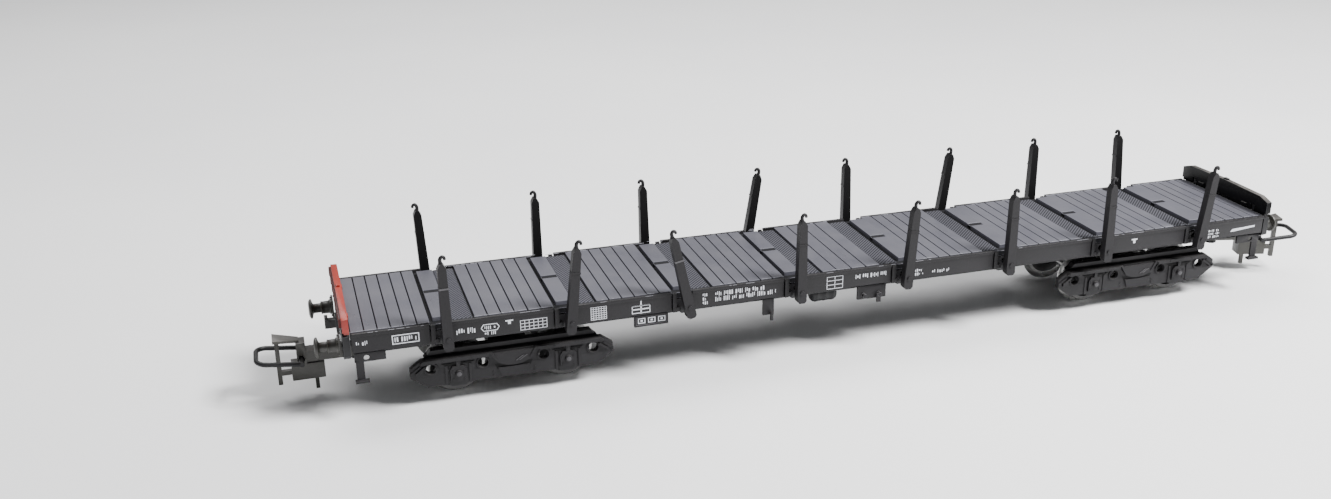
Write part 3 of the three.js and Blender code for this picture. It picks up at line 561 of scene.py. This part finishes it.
def print_grid(bm, x, z, face, columns, rows, line=0.11):
    print_frame(bm, x, z, face, line)
    for i in range(1, columns):
        place = x[0] + (x[1] - x[0]) * i / columns
        print_block(bm, (place - line / 2, place + line / 2), (z[0] + line, z[1] - line), face)
    for i in range(1, rows):
        place = z[0] + (z[1] - z[0]) * i / rows
        print_block(bm, (x[0] + line, x[1] - line), (place - line / 2, place + line / 2), face)


def print_tee(bm, x, z, face):
    middle = (x[0] + x[1]) / 2
    bar_bottom = z[1] - 0.3 * (z[1] - z[0])
    print_block(bm, x, (bar_bottom, z[1]), face)
    print_block(bm, (middle - 0.3, middle + 0.3), (z[0], bar_bottom), face)


def print_rows(bm, rng, x, z, face, rows):
    height = (z[1] - z[0]) / rows
    for i in range(rows):
        low = z[0] + i * height
        end = x[1] - rng.choice((0, 0.2, 0.4)) * (x[1] - x[0]) * 0.5
        print_strokes(bm, rng, (x[0], end), (low + 0.12, low + height - 0.12), face)


def print_label(bm, rng, x, z, face):
    """A frame with strokes in it."""
    print_frame(bm, x, z, face, 0.2)
    print_strokes(bm, rng, (x[0] + 0.5, x[1] - 0.4), (z[0] + 0.5, z[1] - 0.5), face)


def print_badge(bm, rng, x, z, face):
    """A long hexagon with strokes in it."""
    slope = 0.5
    outline = [(x[0], sum(z) / 2), (x[0] + slope, z[0]), (x[1] - slope, z[0]),
               (x[1], sum(z) / 2), (x[1] - slope, z[1]), (x[0] + slope, z[1])]
    print_outline(bm, outline, face)
    print_strokes(bm, rng, (x[0] + 0.7, x[1] - 0.6), (z[0] + 0.35, z[1] - 0.35), face)


def print_cross(bm, x, z, face):
    """Two bars and a post that rises through the frame round them."""
    middle = (x[0] + x[1]) / 2
    for bar in CROSS["bars"]:
        print_block(bm, x, bar, face)
    print_block(bm, (middle - CROSS["half_post"], middle + CROSS["half_post"]), z, face)
    print_frame(bm, x, CROSS["frame"], face, CROSS["line"])


def print_stripe(bm, x, z, face):
    """A long wedge with a slanted start."""
    slant, foot, end_height, start_height = STRIPE
    outline = [(x[0], z[0]), (x[0] + foot, z[0]), (x[1], z[1] - end_height), (x[1], z[1]),
               (x[0] + slant, z[0] + start_height)]
    add_prism(bm, outline, print_layer(face))


CROSS = {"bars": ((16.9, 17.15), (16.1, 16.35)), "half_post": 0.14, "frame": (15.3, 17.15), "line": 0.16}
STRIPE = (0.5, 0.7, 0.45, 0.65)    # slant, foot, height at the end, height at the start
LABEL_FACE = 14.85                 # the plate under the sill
LABEL_BOXES = {"start": -48.6, "pitch": 2.2, "width": 1.6, "z": (12.7, 13.9), "line": 0.18,
               "dot": (0.55, 1.05), "dot_z": (13.1, 13.5), "count": 3}

# What is painted along a sill: kind, range along the car, range of heights, and counts where needed
PRINT = (
    ("strokes", (-106.4, -103.9), (16.3, 17.2)),
    ("label", (-99.4, -94.0), (15.6, 17.6)),
    ("strokes", (-86.6, -82.6), (15.9, 17.1)),
    ("badge", (-81.6, -77.9), (15.9, 17.3)),
    ("strokes", (-80.9, -78.6), (15.0, 15.7)),
    ("tee", (-76.6, -75.0), (16.8, 17.7)),
    ("grid", (-73.6, -68.0), (15.0, 17.2), 6, 3),
    ("grid", (-58.8, -55.4), (15.1, 18.0), 6, 6),
    ("cross", (-50.0, -46.0), (15.2, 18.1)),
    ("rows", (-34.4, -33.0), (15.2, 18.0), 3),
    ("rows", (-31.6, -17.8), (15.6, 18.1), 2),
    ("table", (-6.0, -2.2), (15.0, 17.9), 2, 3),
    ("strokes", (0.8, 8.4), (16.6, 17.6)),
    ("rows", (15.2, 18.0), (15.4, 17.2), 2),
    ("strokes", (19.4, 23.6), (15.6, 16.4)),
    ("tee", (70.8, 72.3), (16.4, 17.5)),
    ("rows", (92.0, 95.8), (15.0, 17.3), 3),
    ("stripe", (98.2, 105.0), (16.0, 17.0)),
)


def add_painted_glints(bm, rng, line, start, end, share):
    """Light spots along an edge, of uneven length, over a share of it: a painted highlight."""
    place = start
    while place < end:
        length = rng.uniform(0.3, 2.2)
        if rng.random() < share:
            add_box(bm, (place, min(place + length, end)), (line[0], line[0] + 0.1),
                    (line[1] - 0.03, line[1] + rng.uniform(0.01, 0.025)))
        place += length + rng.uniform(0.05, 0.5)


def make_painted_glints():
    """A painted highlight in spots along the edges of the deck and of the sills' lips, most of all towards
    the left end.
    """
    for side, sign in SIDES:
        rng = random.Random(SEED + 5 * sign)
        bm = bmesh.new()
        edge = -DECK_HALF[0] if sign < 0 else -DECK_HALF[0] + 3
        for x in STATIONS:
            low = station_ranges(x)[0][0] - 0.2
            share = 0.9 if x < -60 else 0.35
            add_painted_glints(bm, rng, (-DECK_HALF[1] + 0.02, DECK_TOP), edge, low, share)
            add_painted_glints(bm, rng, (-SILL_FACE - SILL_LIP["out"], SILL_LIP["top"]), edge, low - 1.0, 0.6 * share)
            edge = station_ranges(x)[1][1]
        if sign > 0:
            turn_round(bm, bm.verts)
        piece(f"glinting_edges_{side}", bm, ["edge_glint"], body="chassis", slot="deck_grey")


def make_print():
    for side, sign in SIDES:
        rng = random.Random(SEED + sign)
        bm = bmesh.new()
        for kind, x, z, *counts in PRINT:
            if kind == "strokes":
                print_strokes(bm, rng, x, z, SILL_FACE)
            elif kind == "label":
                print_label(bm, rng, x, z, SILL_FACE)
            elif kind == "badge":
                print_badge(bm, rng, x, z, SILL_FACE)
            elif kind == "tee":
                print_tee(bm, x, z, SILL_FACE)
            elif kind in ("grid", "table"):
                print_grid(bm, x, z, SILL_FACE, *counts)
            elif kind == "cross":
                print_cross(bm, x, z, SILL_FACE)
            elif kind == "rows":
                print_rows(bm, rng, x, z, SILL_FACE, *counts)
            elif kind == "stripe":
                print_stripe(bm, x, z, SILL_FACE)
        boxes = LABEL_BOXES
        for i in range(boxes["count"]):
            start = boxes["start"] + boxes["pitch"] * i
            print_frame(bm, (start, start + boxes["width"]), boxes["z"], LABEL_FACE, boxes["line"])
            print_block(bm, (start + boxes["dot"][0], start + boxes["dot"][1]), boxes["dot_z"], LABEL_FACE)
        if sign > 0:
            turn_round(bm, bm.verts)
        piece(f"print_{side}", bm, ["print"], body="chassis", slot="white_print")


# ---------------------------------------------------------------- stakes

STAKE_BACK = 15.8
PIVOT_HEIGHT = 16.0
NEAR_LEANS = (-1, 6, -12, 0, 4, 0, -1, 6)
FAR_LEANS = (-3, 0, -1, 9, -1, 7, 0, -4)
# stakes whose band is drawn in the lighter edge look: a painted highlight
HIGHLIT_BANDS = ("stake_near_1", "stake_near_3")
STAKE = {"depth": 1.8, "foot": -2.5, "half": 1.05, "taper": 1.5, "shoulder": 15.2, "shoulder_half": 0.85,
         "peak": 16.2, "peak_half": 0.34, "band": (10.8, 11.15), "pin": 0.46, "hook": (0.42, 0.3)}


def smooth_path(points, steps=6):
    """A Catmull-Rom curve through the points."""
    path = []
    padded = [points[0], *points, points[-1]]
    for a, b, c, d in zip(padded, padded[1:], padded[2:], padded[3:]):
        for i in range(steps):
            t = i / steps
            path.append(tuple(
                0.5 * (2 * q + (r - p) * t + (2 * p - 5 * q + 4 * r - s) * t * t
                       + (3 * q - p - 3 * r + s) * t ** 3)
                for p, q, r, s in zip(a, b, c, d)))
    path.append(points[-1])
    return path


def stake_mesh(band_look):
    """A stake about its pivot: its inner face is in the third look, a painted shade, and its band in the one
    given.
    """
    s = STAKE
    half = [(0.6, s["foot"]), (s["half"], s["foot"] + 0.5), (s["half"], s["taper"]),
            (s["shoulder_half"], s["shoulder"]), (s["peak_half"], s["peak"])]
    outline = half + [(-u, v) for u, v in reversed(half)]
    bm = bmesh.new()
    add_prism(bm, outline, (-s["depth"], 0))
    # the inner face takes the dark shade look: painted shade
    for face in bm.faces:
        if face.calc_center_median().y > -0.01 * MM:
            face.material_index = 2
    wide = s["shoulder_half"] + (s["half"] - s["shoulder_half"]) * 0.33 + 0.07
    add_box(bm, (-wide, wide), (-s["depth"] - 0.11, -0.3), s["band"], band_look)
    add_rod(bm, "y", (0, 0), (-s["depth"] - 0.24, -s["depth"] + 0.1), s["pin"], 18)
    middle, peak = -s["depth"] / 2, s["peak"]
    hook = smooth_path([(-0.02, middle, peak - 0.5), (-0.14, middle, peak + 0.3), (-0.1, middle, peak + 0.9),
                        (0.24, middle, peak + 1.3), (0.68, middle, peak + 1.14), (0.82, middle, peak + 0.66)])
    thick, thin = s["hook"]
    add_tube(bm, hook, thick, 12, taper=lambda t: thick + (thin - thick) * t)
    return bm


def make_stakes():
    for side, sign in SIDES:
        leans = NEAR_LEANS if sign < 0 else FAR_LEANS
        for index, (x, lean) in enumerate(zip(STATIONS, leans), 1):
            node = f"stake_{side}_{index}"
            turn = Matrix.Rotation(math.radians(lean), 4, "Y")
            if sign > 0:
                turn = turn @ Matrix.Rotation(math.pi, 4, "Z")
            place = Matrix.Translation(Vector((x, sign * STAKE_BACK, PIVOT_HEIGHT)) * MM) @ turn
            band_look = 1 if node in HIGHLIT_BANDS else 0
            piece(f"look_{node}", stake_mesh(band_look), ["charcoal", "charcoal_lit_edge", "charcoal_shade"],
                  node=node, bevel=0.13, edge="charcoal_lit_edge", place=place, segments=3, angle=40)


# ---------------------------------------------------------------- underframe and its fittings

RESERVOIR = {"across": -8.0, "height": 11.3, "radius": 2.0, "bracket": (-4.6, -3.0), "bracket_top": 13.4}


def make_underframe():
    refined("underframe", "black", "black_lit_edge", 0.08)
    for side, _ in SIDES:
        refined(f"changeover_plate_{side}", "charcoal", "charcoal_lit_edge", 0.06)
        refined(f"label_plate_{side}", "charcoal", "charcoal_lit_edge", 0.05)
    refined("release_lever_near", "charcoal", "charcoal_lit_edge", 0.06)
    low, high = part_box("air_reservoir")
    across, height, radius = (RESERVOIR[key] for key in ("across", "height", "radius"))
    left, right = low[0] / MM, high[0] / MM
    bm = bmesh.new()
    profile = [(0, left, 0), (0.9, left + 0.08, 0), (1.6, left + 0.35, 0), (1.9, left + 0.75, 0)]
    for band in (left + 1.3, left + 3.2, right - 1.3):
        profile += [(radius - 0.06, band - 0.22, 0), (radius, band - 0.16, 0), (radius, band + 0.16, 0),
                    (radius - 0.06, band + 0.22, 0)]
    profile += [(1.9, right - 0.75, 0), (1.6, right - 0.35, 0), (0.9, right - 0.08, 0), (0, right, 0)]
    add_lathe(bm, profile, 40, "x", (across, height))
    add_box(bm, RESERVOIR["bracket"], (across - 0.6, across + 0.6), (height, RESERVOIR["bracket_top"]))
    piece("look_air_reservoir", bm, ["black"], node="air_reservoir", bevel=0.05, edge="black_lit_edge", angle=60)
    refined("ballast_plate", "steel", None, 0.05)


# ---------------------------------------------------------------- bogies

BOGIE_CENTRE = 75.0
HALF_WHEELBASE = 11.5
AXLE_HEIGHT = 6.5
BOGIE = {"inner": 11.7, "rail": 10.4, "face": 13.1, "proud": 13.9,
         "tip": 21.3, "tip_top": 8.5, "tip_bottom": 6.5,
         "top_half": 18.9, "top": 10.2, "bottom_half": 17.8, "bottom": 4.0, "guard": 3.5,
         "hole": 1.05, "hole_height": 8.0, "holes": (-17, -6.4, 6.4, 17)}


def bogie_outline():
    b = BOGIE
    half = [(9.4, b["bottom"]), (10.0, b["guard"]), (13.0, b["guard"]), (13.6, b["bottom"]),
            (b["bottom_half"], b["bottom"]), (b["tip"], b["tip_bottom"]), (b["tip"], b["tip_top"]),
            (b["top_half"], b["top"])]
    return half + [(-u, v) for u, v in reversed(half)]


def mirrored(points, sign):
    return points if sign > 0 else [(-u, v) for u, v in reversed(points)]


def bogie_mesh():
    b = BOGIE
    face, proud = -b["face"], -b["proud"]
    bm = bmesh.new()
    holes = [circle(x, b["hole_height"], b["hole"]) for x in b["holes"]]
    add_plate(bm, [bogie_outline(), *holes], (face, -b["inner"]), 0.1)
    # the higher rail behind the plate, in the shade up to its lit top flange
    add_prism(bm, [(-17.6, 9.4), (17.6, 9.4), (18.2, 10.2), (17.4, 10.9), (-17.4, 10.9), (-18.2, 10.2)],
              (-b["inner"] - 0.1, -b["rail"]), 1)
    add_prism(bm, [(-17.5, 10.85), (17.5, 10.85), (16.8, 11.7), (-16.8, 11.7)],
              (-b["inner"] - 0.6, -b["rail"]))
    # a dark strip on the plate's top: painted shade
    add_box(bm, (-18.3, 18.3), (face + 0.1, -b["inner"] - 0.02), (b["top"] - 0.05, b["top"] + 0.02), 1)
    for sign in (-1, 1):
        # a top ledge with a slot under it in painted shade, and the web that carries it down to the tip
        ledge = mirrored([(5.4, 9.45), (17.7, 9.45), (18.7, 9.3), (19.2, 9.7), (18.6, 10.2), (5.0, 10.2)],
                         sign)
        add_prism(bm, ledge, (proud, face + 0.1))
        slot = mirrored([(5.8, 9.1), (17.4, 9.1), (17.8, 9.4), (5.6, 9.4)], sign)
        add_prism(bm, slot, (face - 0.03, face + 0.1), 1)
        for start, reach in ((18.2, 0.55), (19.3, 0.3)):
            web = mirrored([(start, 9.0), (start + 2.0, 7.6), (start + 2.0, 6.9), (start + 1.7, 6.9),
                            (start + 1.7, 7.3), (start - 0.2, 8.7)], sign)
            add_prism(bm, web, (face - reach, face + 0.1))
        centre = sign * HALF_WHEELBASE
        # axle box in its guides, with a round cap, four bolts and a strut above; the braces over it are drawn
        # dark, a painted shade
        for edge in (-1, 1):
            guide = centre + edge * 2.45
            bar = [(guide - 0.25, 4.0), (guide + 0.25, 4.0), (guide + 0.25, 8.3), (guide - 0.25, 8.3)]
            add_prism(bm, bar, (face - 0.2, face + 0.1))
            brace = [(centre + edge * 0.7, 8.45), (centre + edge * 0.7, 8.8), (centre + edge * 3.4, 8.8),
                     (centre + edge * 2.6, 8.45)]
            add_prism(bm, brace if edge > 0 else brace[::-1], (face - 0.15, face + 0.1), 1)
        add_prism(bm, [(centre - 0.4, 7.9), (centre + 0.4, 7.9), (centre + 0.4, 9.5), (centre - 0.4, 9.5)],
                  (face - 0.45, face + 0.1))
        add_prism(bm, [(centre - 1.75, 4.7), (centre + 1.75, 4.7), (centre + 1.75, 7.4), (centre + 1.2, 8.1),
                       (centre - 1.2, 8.1), (centre - 1.75, 7.4)], (face - 0.5, face + 0.1))
        # the cap's middle is in the lighter edge look: a painted highlight
        add_lathe(bm, [(0, -14.2, 2), (0.35, -14.18, 2), (0.5, -14.1, 0), (0.7, -14.02, 0),
                       (0.78, face - 0.52, 0), (1.1, face - 0.5, 0), (1.1, face - 0.4, 0),
                       (0, face - 0.4, 0)],
                  24, "y", (centre, AXLE_HEIGHT))
        # a dark patch to the upper left of the cap: painted shade
        add_prism(bm, [(centre - 2.2, 7.5), (centre - 1.85, 7.5), (centre - 1.85, 8.15), (centre - 0.5, 8.25),
                       (centre - 0.5, 8.5), (centre - 2.8, 8.4)], (face - 0.06, face + 0.1), 1)
        for u, v in ((-1.2, 5.2), (1.2, 5.2), (-1.2, 7.1), (1.2, 7.1)):
            add_rod(bm, "y", (centre + u, v), (face - 0.62, face - 0.4), 0.2, 8)
        for x in (17.0, 6.4):
            ring = [(1.08, face - 0.02, 0), (1.12, face - 0.2, 0), (1.36, face - 0.2, 0),
                    (1.44, face + 0.1, 0), (1.08, face + 0.1, 0)]
            add_lathe(bm, ring, 32, "y", (sign * x, b["hole_height"]), close=True)
    # the hanging bowl of the bolster, the gap under it in painted shade and the spring plank below
    bowl = [(-4.6, 9.9), (-4.1, 8.6), (-3.1, 7.5), (-1.6, 6.9), (0, 6.75), (1.6, 6.9), (3.1, 7.5), (4.1, 8.6),
            (4.6, 9.9)]
    add_prism(bm, bowl, (face - 0.5, face + 0.1))
    gap = [(-4.0, 7.2), (-3.5, 6.1), (3.5, 6.1), (4.0, 7.2)]
    add_prism(bm, gap, (face - 0.04, face + 0.1), 1)
    plank = [(-3.3, 6.4), (-2.6, 4.4), (2.6, 4.4), (3.3, 6.4)]
    add_prism(bm, plank, (face - 0.35, face + 0.1))
    # two thin slanted ribs in the lighter edge look: a painted highlight
    for shift in (0, 0.7):
        add_prism(bm, [(0.3 + shift, 7.7), (0.6 + shift, 7.7), (2.2 + shift, 8.7), (1.9 + shift, 8.7)],
                  (face - 0.65, face - 0.4), 2)
    for sign in (-1, 1):
        slant = mirrored([(3.3, 8.2), (3.7, 8.2), (5.0, 10.2), (4.5, 10.2)], sign)
        add_prism(bm, slant, (face - 0.7, face + 0.1))
        for z in (4.9, 5.7):
            add_rod(bm, "y", (sign * 4.3, z - 0.2), (face - 0.12, face + 0.1), 0.2, 10)
    for x in (-18.6, -14.6, -8.6, 8.6, 14.6, 18.6):
        add_rod(bm, "y", (x, 9.8), (proud - 0.1, proud + 0.1), 0.15, 8)
    add_turned_copy(bm)
    # the transom between the two sides, with the boss that the screw passes through
    add_box(bm, (-4, 4), (-b["inner"] - 0.1, b["inner"] + 0.1), (7.6, 9.7))
    for y in (-8.6, 8.6):
        add_box(bm, (-4.4, 4.4), (y - 0.5, y + 0.5), (7.4, 9.9))
    boss = [(1.4, 7.7, 0), (1.4, 13.3, 0), (2.85, 13.3, 0), (3.0, 13.1, 0), (3.0, 9.6, 0), (3.0, 7.7, 0)]
    add_lathe(bm, boss, 40, "z", close=True)
    return bm


def make_bogies():
    for end, sign in ENDS:
        place = Matrix.Translation((sign * BOGIE_CENTRE * MM, 0, 0))
        node = f"bogie_frame_{end}"
        piece(f"look_{node}", bogie_mesh(), ["bogie", "charcoal_shade", "bogie_lit_edge"], node=node, bevel=0.07,
              edge="bogie_lit_edge", place=place, segments=2, angle=42)
        refined(f"bogie_screw_{end}", "steel", None, 0.08)
        for letter, offset in (("a", -HALF_WHEELBASE), ("b", HALF_WHEELBASE)):
            x = sign * BOGIE_CENTRE + offset
            make_wheelset(f"{end}_{letter}", x)


WHEEL_BACK = 7.2


def wheel_mesh():
    """The far wheel: flange at the back, coned tread, deep rim, dished web and hub, with the web and the
    rim's outer face near black as a painted shade.
    """
    back = WHEEL_BACK
    profile = [(1.05, back, 1), (2.1, back, 1), (2.4, back + 0.1, 1), (4.3, back + 0.1, 1), (4.7, back, 0),
               (5.9, back, 0), (6.3, back + 0.06, 0), (6.47, back + 0.22, 0), (6.5, back + 0.38, 0),
               (6.3, back + 0.56, 0), (5.85, back + 0.68, 0), (5.62, back + 0.8, 0), (5.56, back + 1.0, 0),
               (5.42, back + 2.68, 2), (5.3, back + 2.8, 2), (4.5, back + 2.8, 2), (4.36, back + 2.68, 1),
               (4.2, back + 1.9, 1), (3.2, back + 1.6, 1), (2.2, back + 1.75, 1), (1.9, back + 2.0, 1),
               (1.85, back + 2.7, 0), (1.75, back + 2.8, 0), (1.05, back + 2.8, 0)]
    bm = bmesh.new()
    add_lathe(bm, profile, 96, "y", close=True)
    return bm


def make_wheelset(name, x):
    centre = Vector((x, 0, AXLE_HEIGHT)) * MM
    bm = bmesh.new()
    profile = [(0, -12.3, 0), (0.3, -11.95, 0), (0.7, -11.5, 0), (0.7, -10.3, 0), (0.62, -10.2, 0),
               (0.62, -6.6, 0), (0.7, -6.5, 0), (0.7, 6.5, 0), (0.62, 6.6, 0), (0.62, 10.2, 0),
               (0.7, 10.3, 0), (0.7, 11.5, 0), (0.3, 11.95, 0), (0, 12.3, 0)]
    add_lathe(bm, profile, 40, "y")
    piece(f"look_axle_{name}", bm, ["wheel"], node=f"axle_{name}", place=Matrix.Translation(centre))
    for side, sign in SIDES:
        turn = Matrix.Rotation(0 if sign > 0 else math.pi, 4, "Z")
        piece(f"look_wheel_{name}_{side}", wheel_mesh(), ["wheel", "wheel_web_shade", "wheel_rim_shade"],
              node=f"wheel_{name}_{side}", place=Matrix.Translation(centre) @ turn)


# ---------------------------------------------------------------- ends

HEAD_OUTER = 108.9
BUFFER = {"spread": 10.2, "height": 14.8, "face": 114.4, "head": 2.1}
BATTEN = {"across": (-12.0, -7.1, -2.4, 2.4, 7.1, 12.0), "half": 0.25, "x": (108.75, 108.9),
          "z": (21.0, 21.5)}
WALL_SHADE_FROM = 108.79           # the red wall is in shade from here outwards
EAR = {"across": 10.9, "half": 0.4, "x": 108.15, "z": 19.98, "radius": 0.5}
RIVET = {"across": (-13.9, -6.6, -4.6, 4.6, 6.6, 13.9), "z": (15.6, 17.6), "radius": 0.24}


def buffer_mesh():
    """Drawn towards +X, from the headstock's face."""
    start = HEAD_OUTER + 0.3
    face, head = BUFFER["face"], BUFFER["head"]
    profile = [(0, start, 0), (1.7, start, 0), (1.7, start + 0.3, 0), (1.62, start + 0.38, 0),
               (1.62, start + 0.75, 0), (1.5, start + 0.85, 0), (1.36, start + 1.0, 0),
               (1.32, start + 2.3, 0), (1.38, start + 2.36, 0), (1.38, start + 2.56, 0),
               (1.2, start + 2.62, 0), (1.02, start + 2.66, 0), (1.02, face - 1.15, 0),
               (1.2, face - 0.98, 0), (1.7, face - 0.84, 0), (head - 0.06, face - 0.74, 0),
               (head, face - 0.66, 0), (head, face - 0.42, 0), (head - 0.08, face - 0.3, 0),
               (1.6, face - 0.08, 0), (1.0, face, 0), (0, face, 0)]
    bm = bmesh.new()
    add_lathe(bm, profile, 48, "x")
    add_box(bm, (start, start + 0.4), (-1.9, 1.9), (-1.9, 1.9))
    for y in (-1.45, 1.45):
        for z in (-1.45, 1.45):
            add_rod(bm, "x", (y, z), (start + 0.3, start + 0.62), 0.26, 6)
    return bm


def wall_battens(sign):
    """Short battens on the wall's outer face."""
    def extra(bm):
        x = sorted(sign * place for place in BATTEN["x"])
        for y in BATTEN["across"]:
            # on the left wall the battens take the darker red: a painted shade
            add_box(bm, x, (y - BATTEN["half"], y + BATTEN["half"]), BATTEN["z"], 1 if sign < 0 else 0)
    return extra


def headstock_details(sign):
    """Rivets on the headstock's face and the rounded tops of its two ears."""
    def extra(bm):
        for y in (-EAR["across"], EAR["across"]):
            add_rod(bm, "y", (sign * EAR["x"], EAR["z"]), (y - EAR["half"], y + EAR["half"]),
                    EAR["radius"], 16)
        reach = sorted((sign * (HEAD_OUTER - 0.1), sign * (HEAD_OUTER + 0.14)))
        for y in RIVET["across"]:
            for z in RIVET["z"]:
                add_rod(bm, "x", (y, z), reach, RIVET["radius"], 10)
    return extra


END_WALL_LOOKS = {"left": ("red", "red_lit_edge", ("red_shade", WALL_SHADE_FROM)),
                  "right": ("shaded_black_wall", "black_lit_edge", None)}


def make_ends():
    for end, sign in ENDS:
        turn = Matrix.Rotation(0 if sign > 0 else math.pi, 4, "Z")
        wall, wall_edge, outer = END_WALL_LOOKS[end]
        refined(f"headstock_{end}", "black", "black_lit_edge", 0.08, headstock_details(sign))
        refined(f"end_wall_{end}", wall, wall_edge, 0.09, wall_battens(sign), outer)
        for side, y in SIDES:
            node = f"buffer_{end}_{side}"
            place = Matrix.Translation(Vector((0, y * BUFFER["spread"], BUFFER["height"])) * MM) @ turn
            piece(f"look_{node}", buffer_mesh(), ["olive"], node=node, bevel=0.05, edge="olive_lit_edge",
                  place=place, angle=50)
            refined(f"end_step_{end}_{side}", "charcoal", "charcoal_lit_edge", 0.07)


# ---------------------------------------------------------------- couplers

COUPLER_PIVOT = 105.8
RIGHT_SWING = -16
LOOP = {"pivot": 11.2, "height": 8.9, "reach": 20.19, "half": 4.2, "rod": 0.5, "corner": 2.2, "tilt": 7}


def loop_mesh():
    """A closed bow of round rod about its own pin, which lies on the local Y axis."""
    reach, half, corner = LOOP["reach"] - LOOP["pivot"], LOOP["half"], LOOP["corner"]
    path = [(0, -half, 0), (reach * 0.35, -half, 0), (reach - corner, -half, 0)]
    for i in range(1, 9):
        angle = math.pi / 2 * i / 8
        path.append((reach - corner + corner * math.sin(angle), -half + corner * (1 - math.cos(angle)), 0))
    path += [(u, -v, w) for u, v, w in reversed(path)]
    bm = bmesh.new()
    add_tube(bm, path, LOOP["rod"], 20)
    add_rod(bm, "y", (0, 0), (-half - LOOP["rod"], half + LOOP["rod"]), LOOP["rod"] * 0.98, 20)
    return bm


def make_couplers():
    for end, sign in ENDS:
        angle = math.pi if sign < 0 else math.radians(RIGHT_SWING)
        base = Matrix.Translation((sign * COUPLER_PIVOT * MM, 0, 0)) @ Matrix.Rotation(angle, 4, "Z")
        refined(f"coupler_head_{end}", "olive", "olive_lit_edge", 0.1)
        place = (base @ Matrix.Translation(Vector((LOOP["pivot"], 0, LOOP["height"])) * MM)
                 @ Matrix.Rotation(-math.radians(LOOP["tilt"]), 4, "Y"))
        node = f"coupler_loop_{end}"
        piece(f"look_{node}", loop_mesh(), ["black"], node=node, place=place, angle=50)


# ---------------------------------------------------------------- floor, light and camera

def floor_material():
    tree = Tree("pale_floor")
    tone = tree.mix(tree.span(tree.noise(6, 3), 0, 1), srgb(240, 240, 241), srgb(246, 246, 246))
    tree.feed(tree.shader.inputs["Base Color"], tone)
    tree.feed(tree.shader.inputs["Roughness"], 0.8)
    return tree.material


def area_light(name, position, energy, size, colour=(1, 1, 1)):
    light = bpy.data.lights.new(name, "AREA")
    light.energy = energy
    light.size = size
    light.color = colour
    obj = bpy.data.objects.new(name, light)
    bpy.context.scene.collection.objects.link(obj)
    obj.location = position
    obj.rotation_euler = (-Vector(position)).to_track_quat("-Z", "Y").to_euler()


def make_stage():
    bpy.ops.mesh.primitive_plane_add(size=6, location=(0, 0, -0.0002))
    floor = bpy.context.object
    floor.name = "floor"
    floor.data.materials.append(floor_material())
    world = bpy.data.worlds.new("studio")
    world.use_nodes = True
    background = world.node_tree.nodes["Background"]
    background.inputs["Color"].default_value = (0.97, 0.98, 1.0, 1)
    background.inputs["Strength"].default_value = 0.26
    bpy.context.scene.world = world
    area_light("key", (0.36, -0.24, 0.52), 12.0, 0.20)
    area_light("top", (-0.10, 0.30, 0.55), 3.0, 0.40)


CAMERA = {"place": (-0.11646, -0.26060, 0.12755), "lens": 35.95, "sensor": 36,
          "right": (0.9561, -0.2927, -0.0111), "down": (-0.1151, -0.3407, -0.9331),
          "forward": (0.2693, 0.8935, -0.3594)}


def make_camera():
    """Above and in front of the car's left end, looking right and down."""
    camera = bpy.data.cameras.new("camera")
    camera.sensor_width = CAMERA["sensor"]
    camera.lens = CAMERA["lens"]
    obj = bpy.data.objects.new("camera", camera)
    bpy.context.scene.collection.objects.link(obj)
    right, down, forward = (Vector(CAMERA[key]) for key in ("right", "down", "forward"))
    turn = Matrix((right, -down, -forward)).transposed()
    obj.matrix_world = Matrix.Translation(CAMERA["place"]) @ turn.to_4x4()
    bpy.context.scene.camera = obj


make_deck()
make_sills()
make_print()
make_painted_glints()
make_stakes()
make_underframe()
make_bogies()
make_ends()
make_couplers()
make_stage()
make_camera()
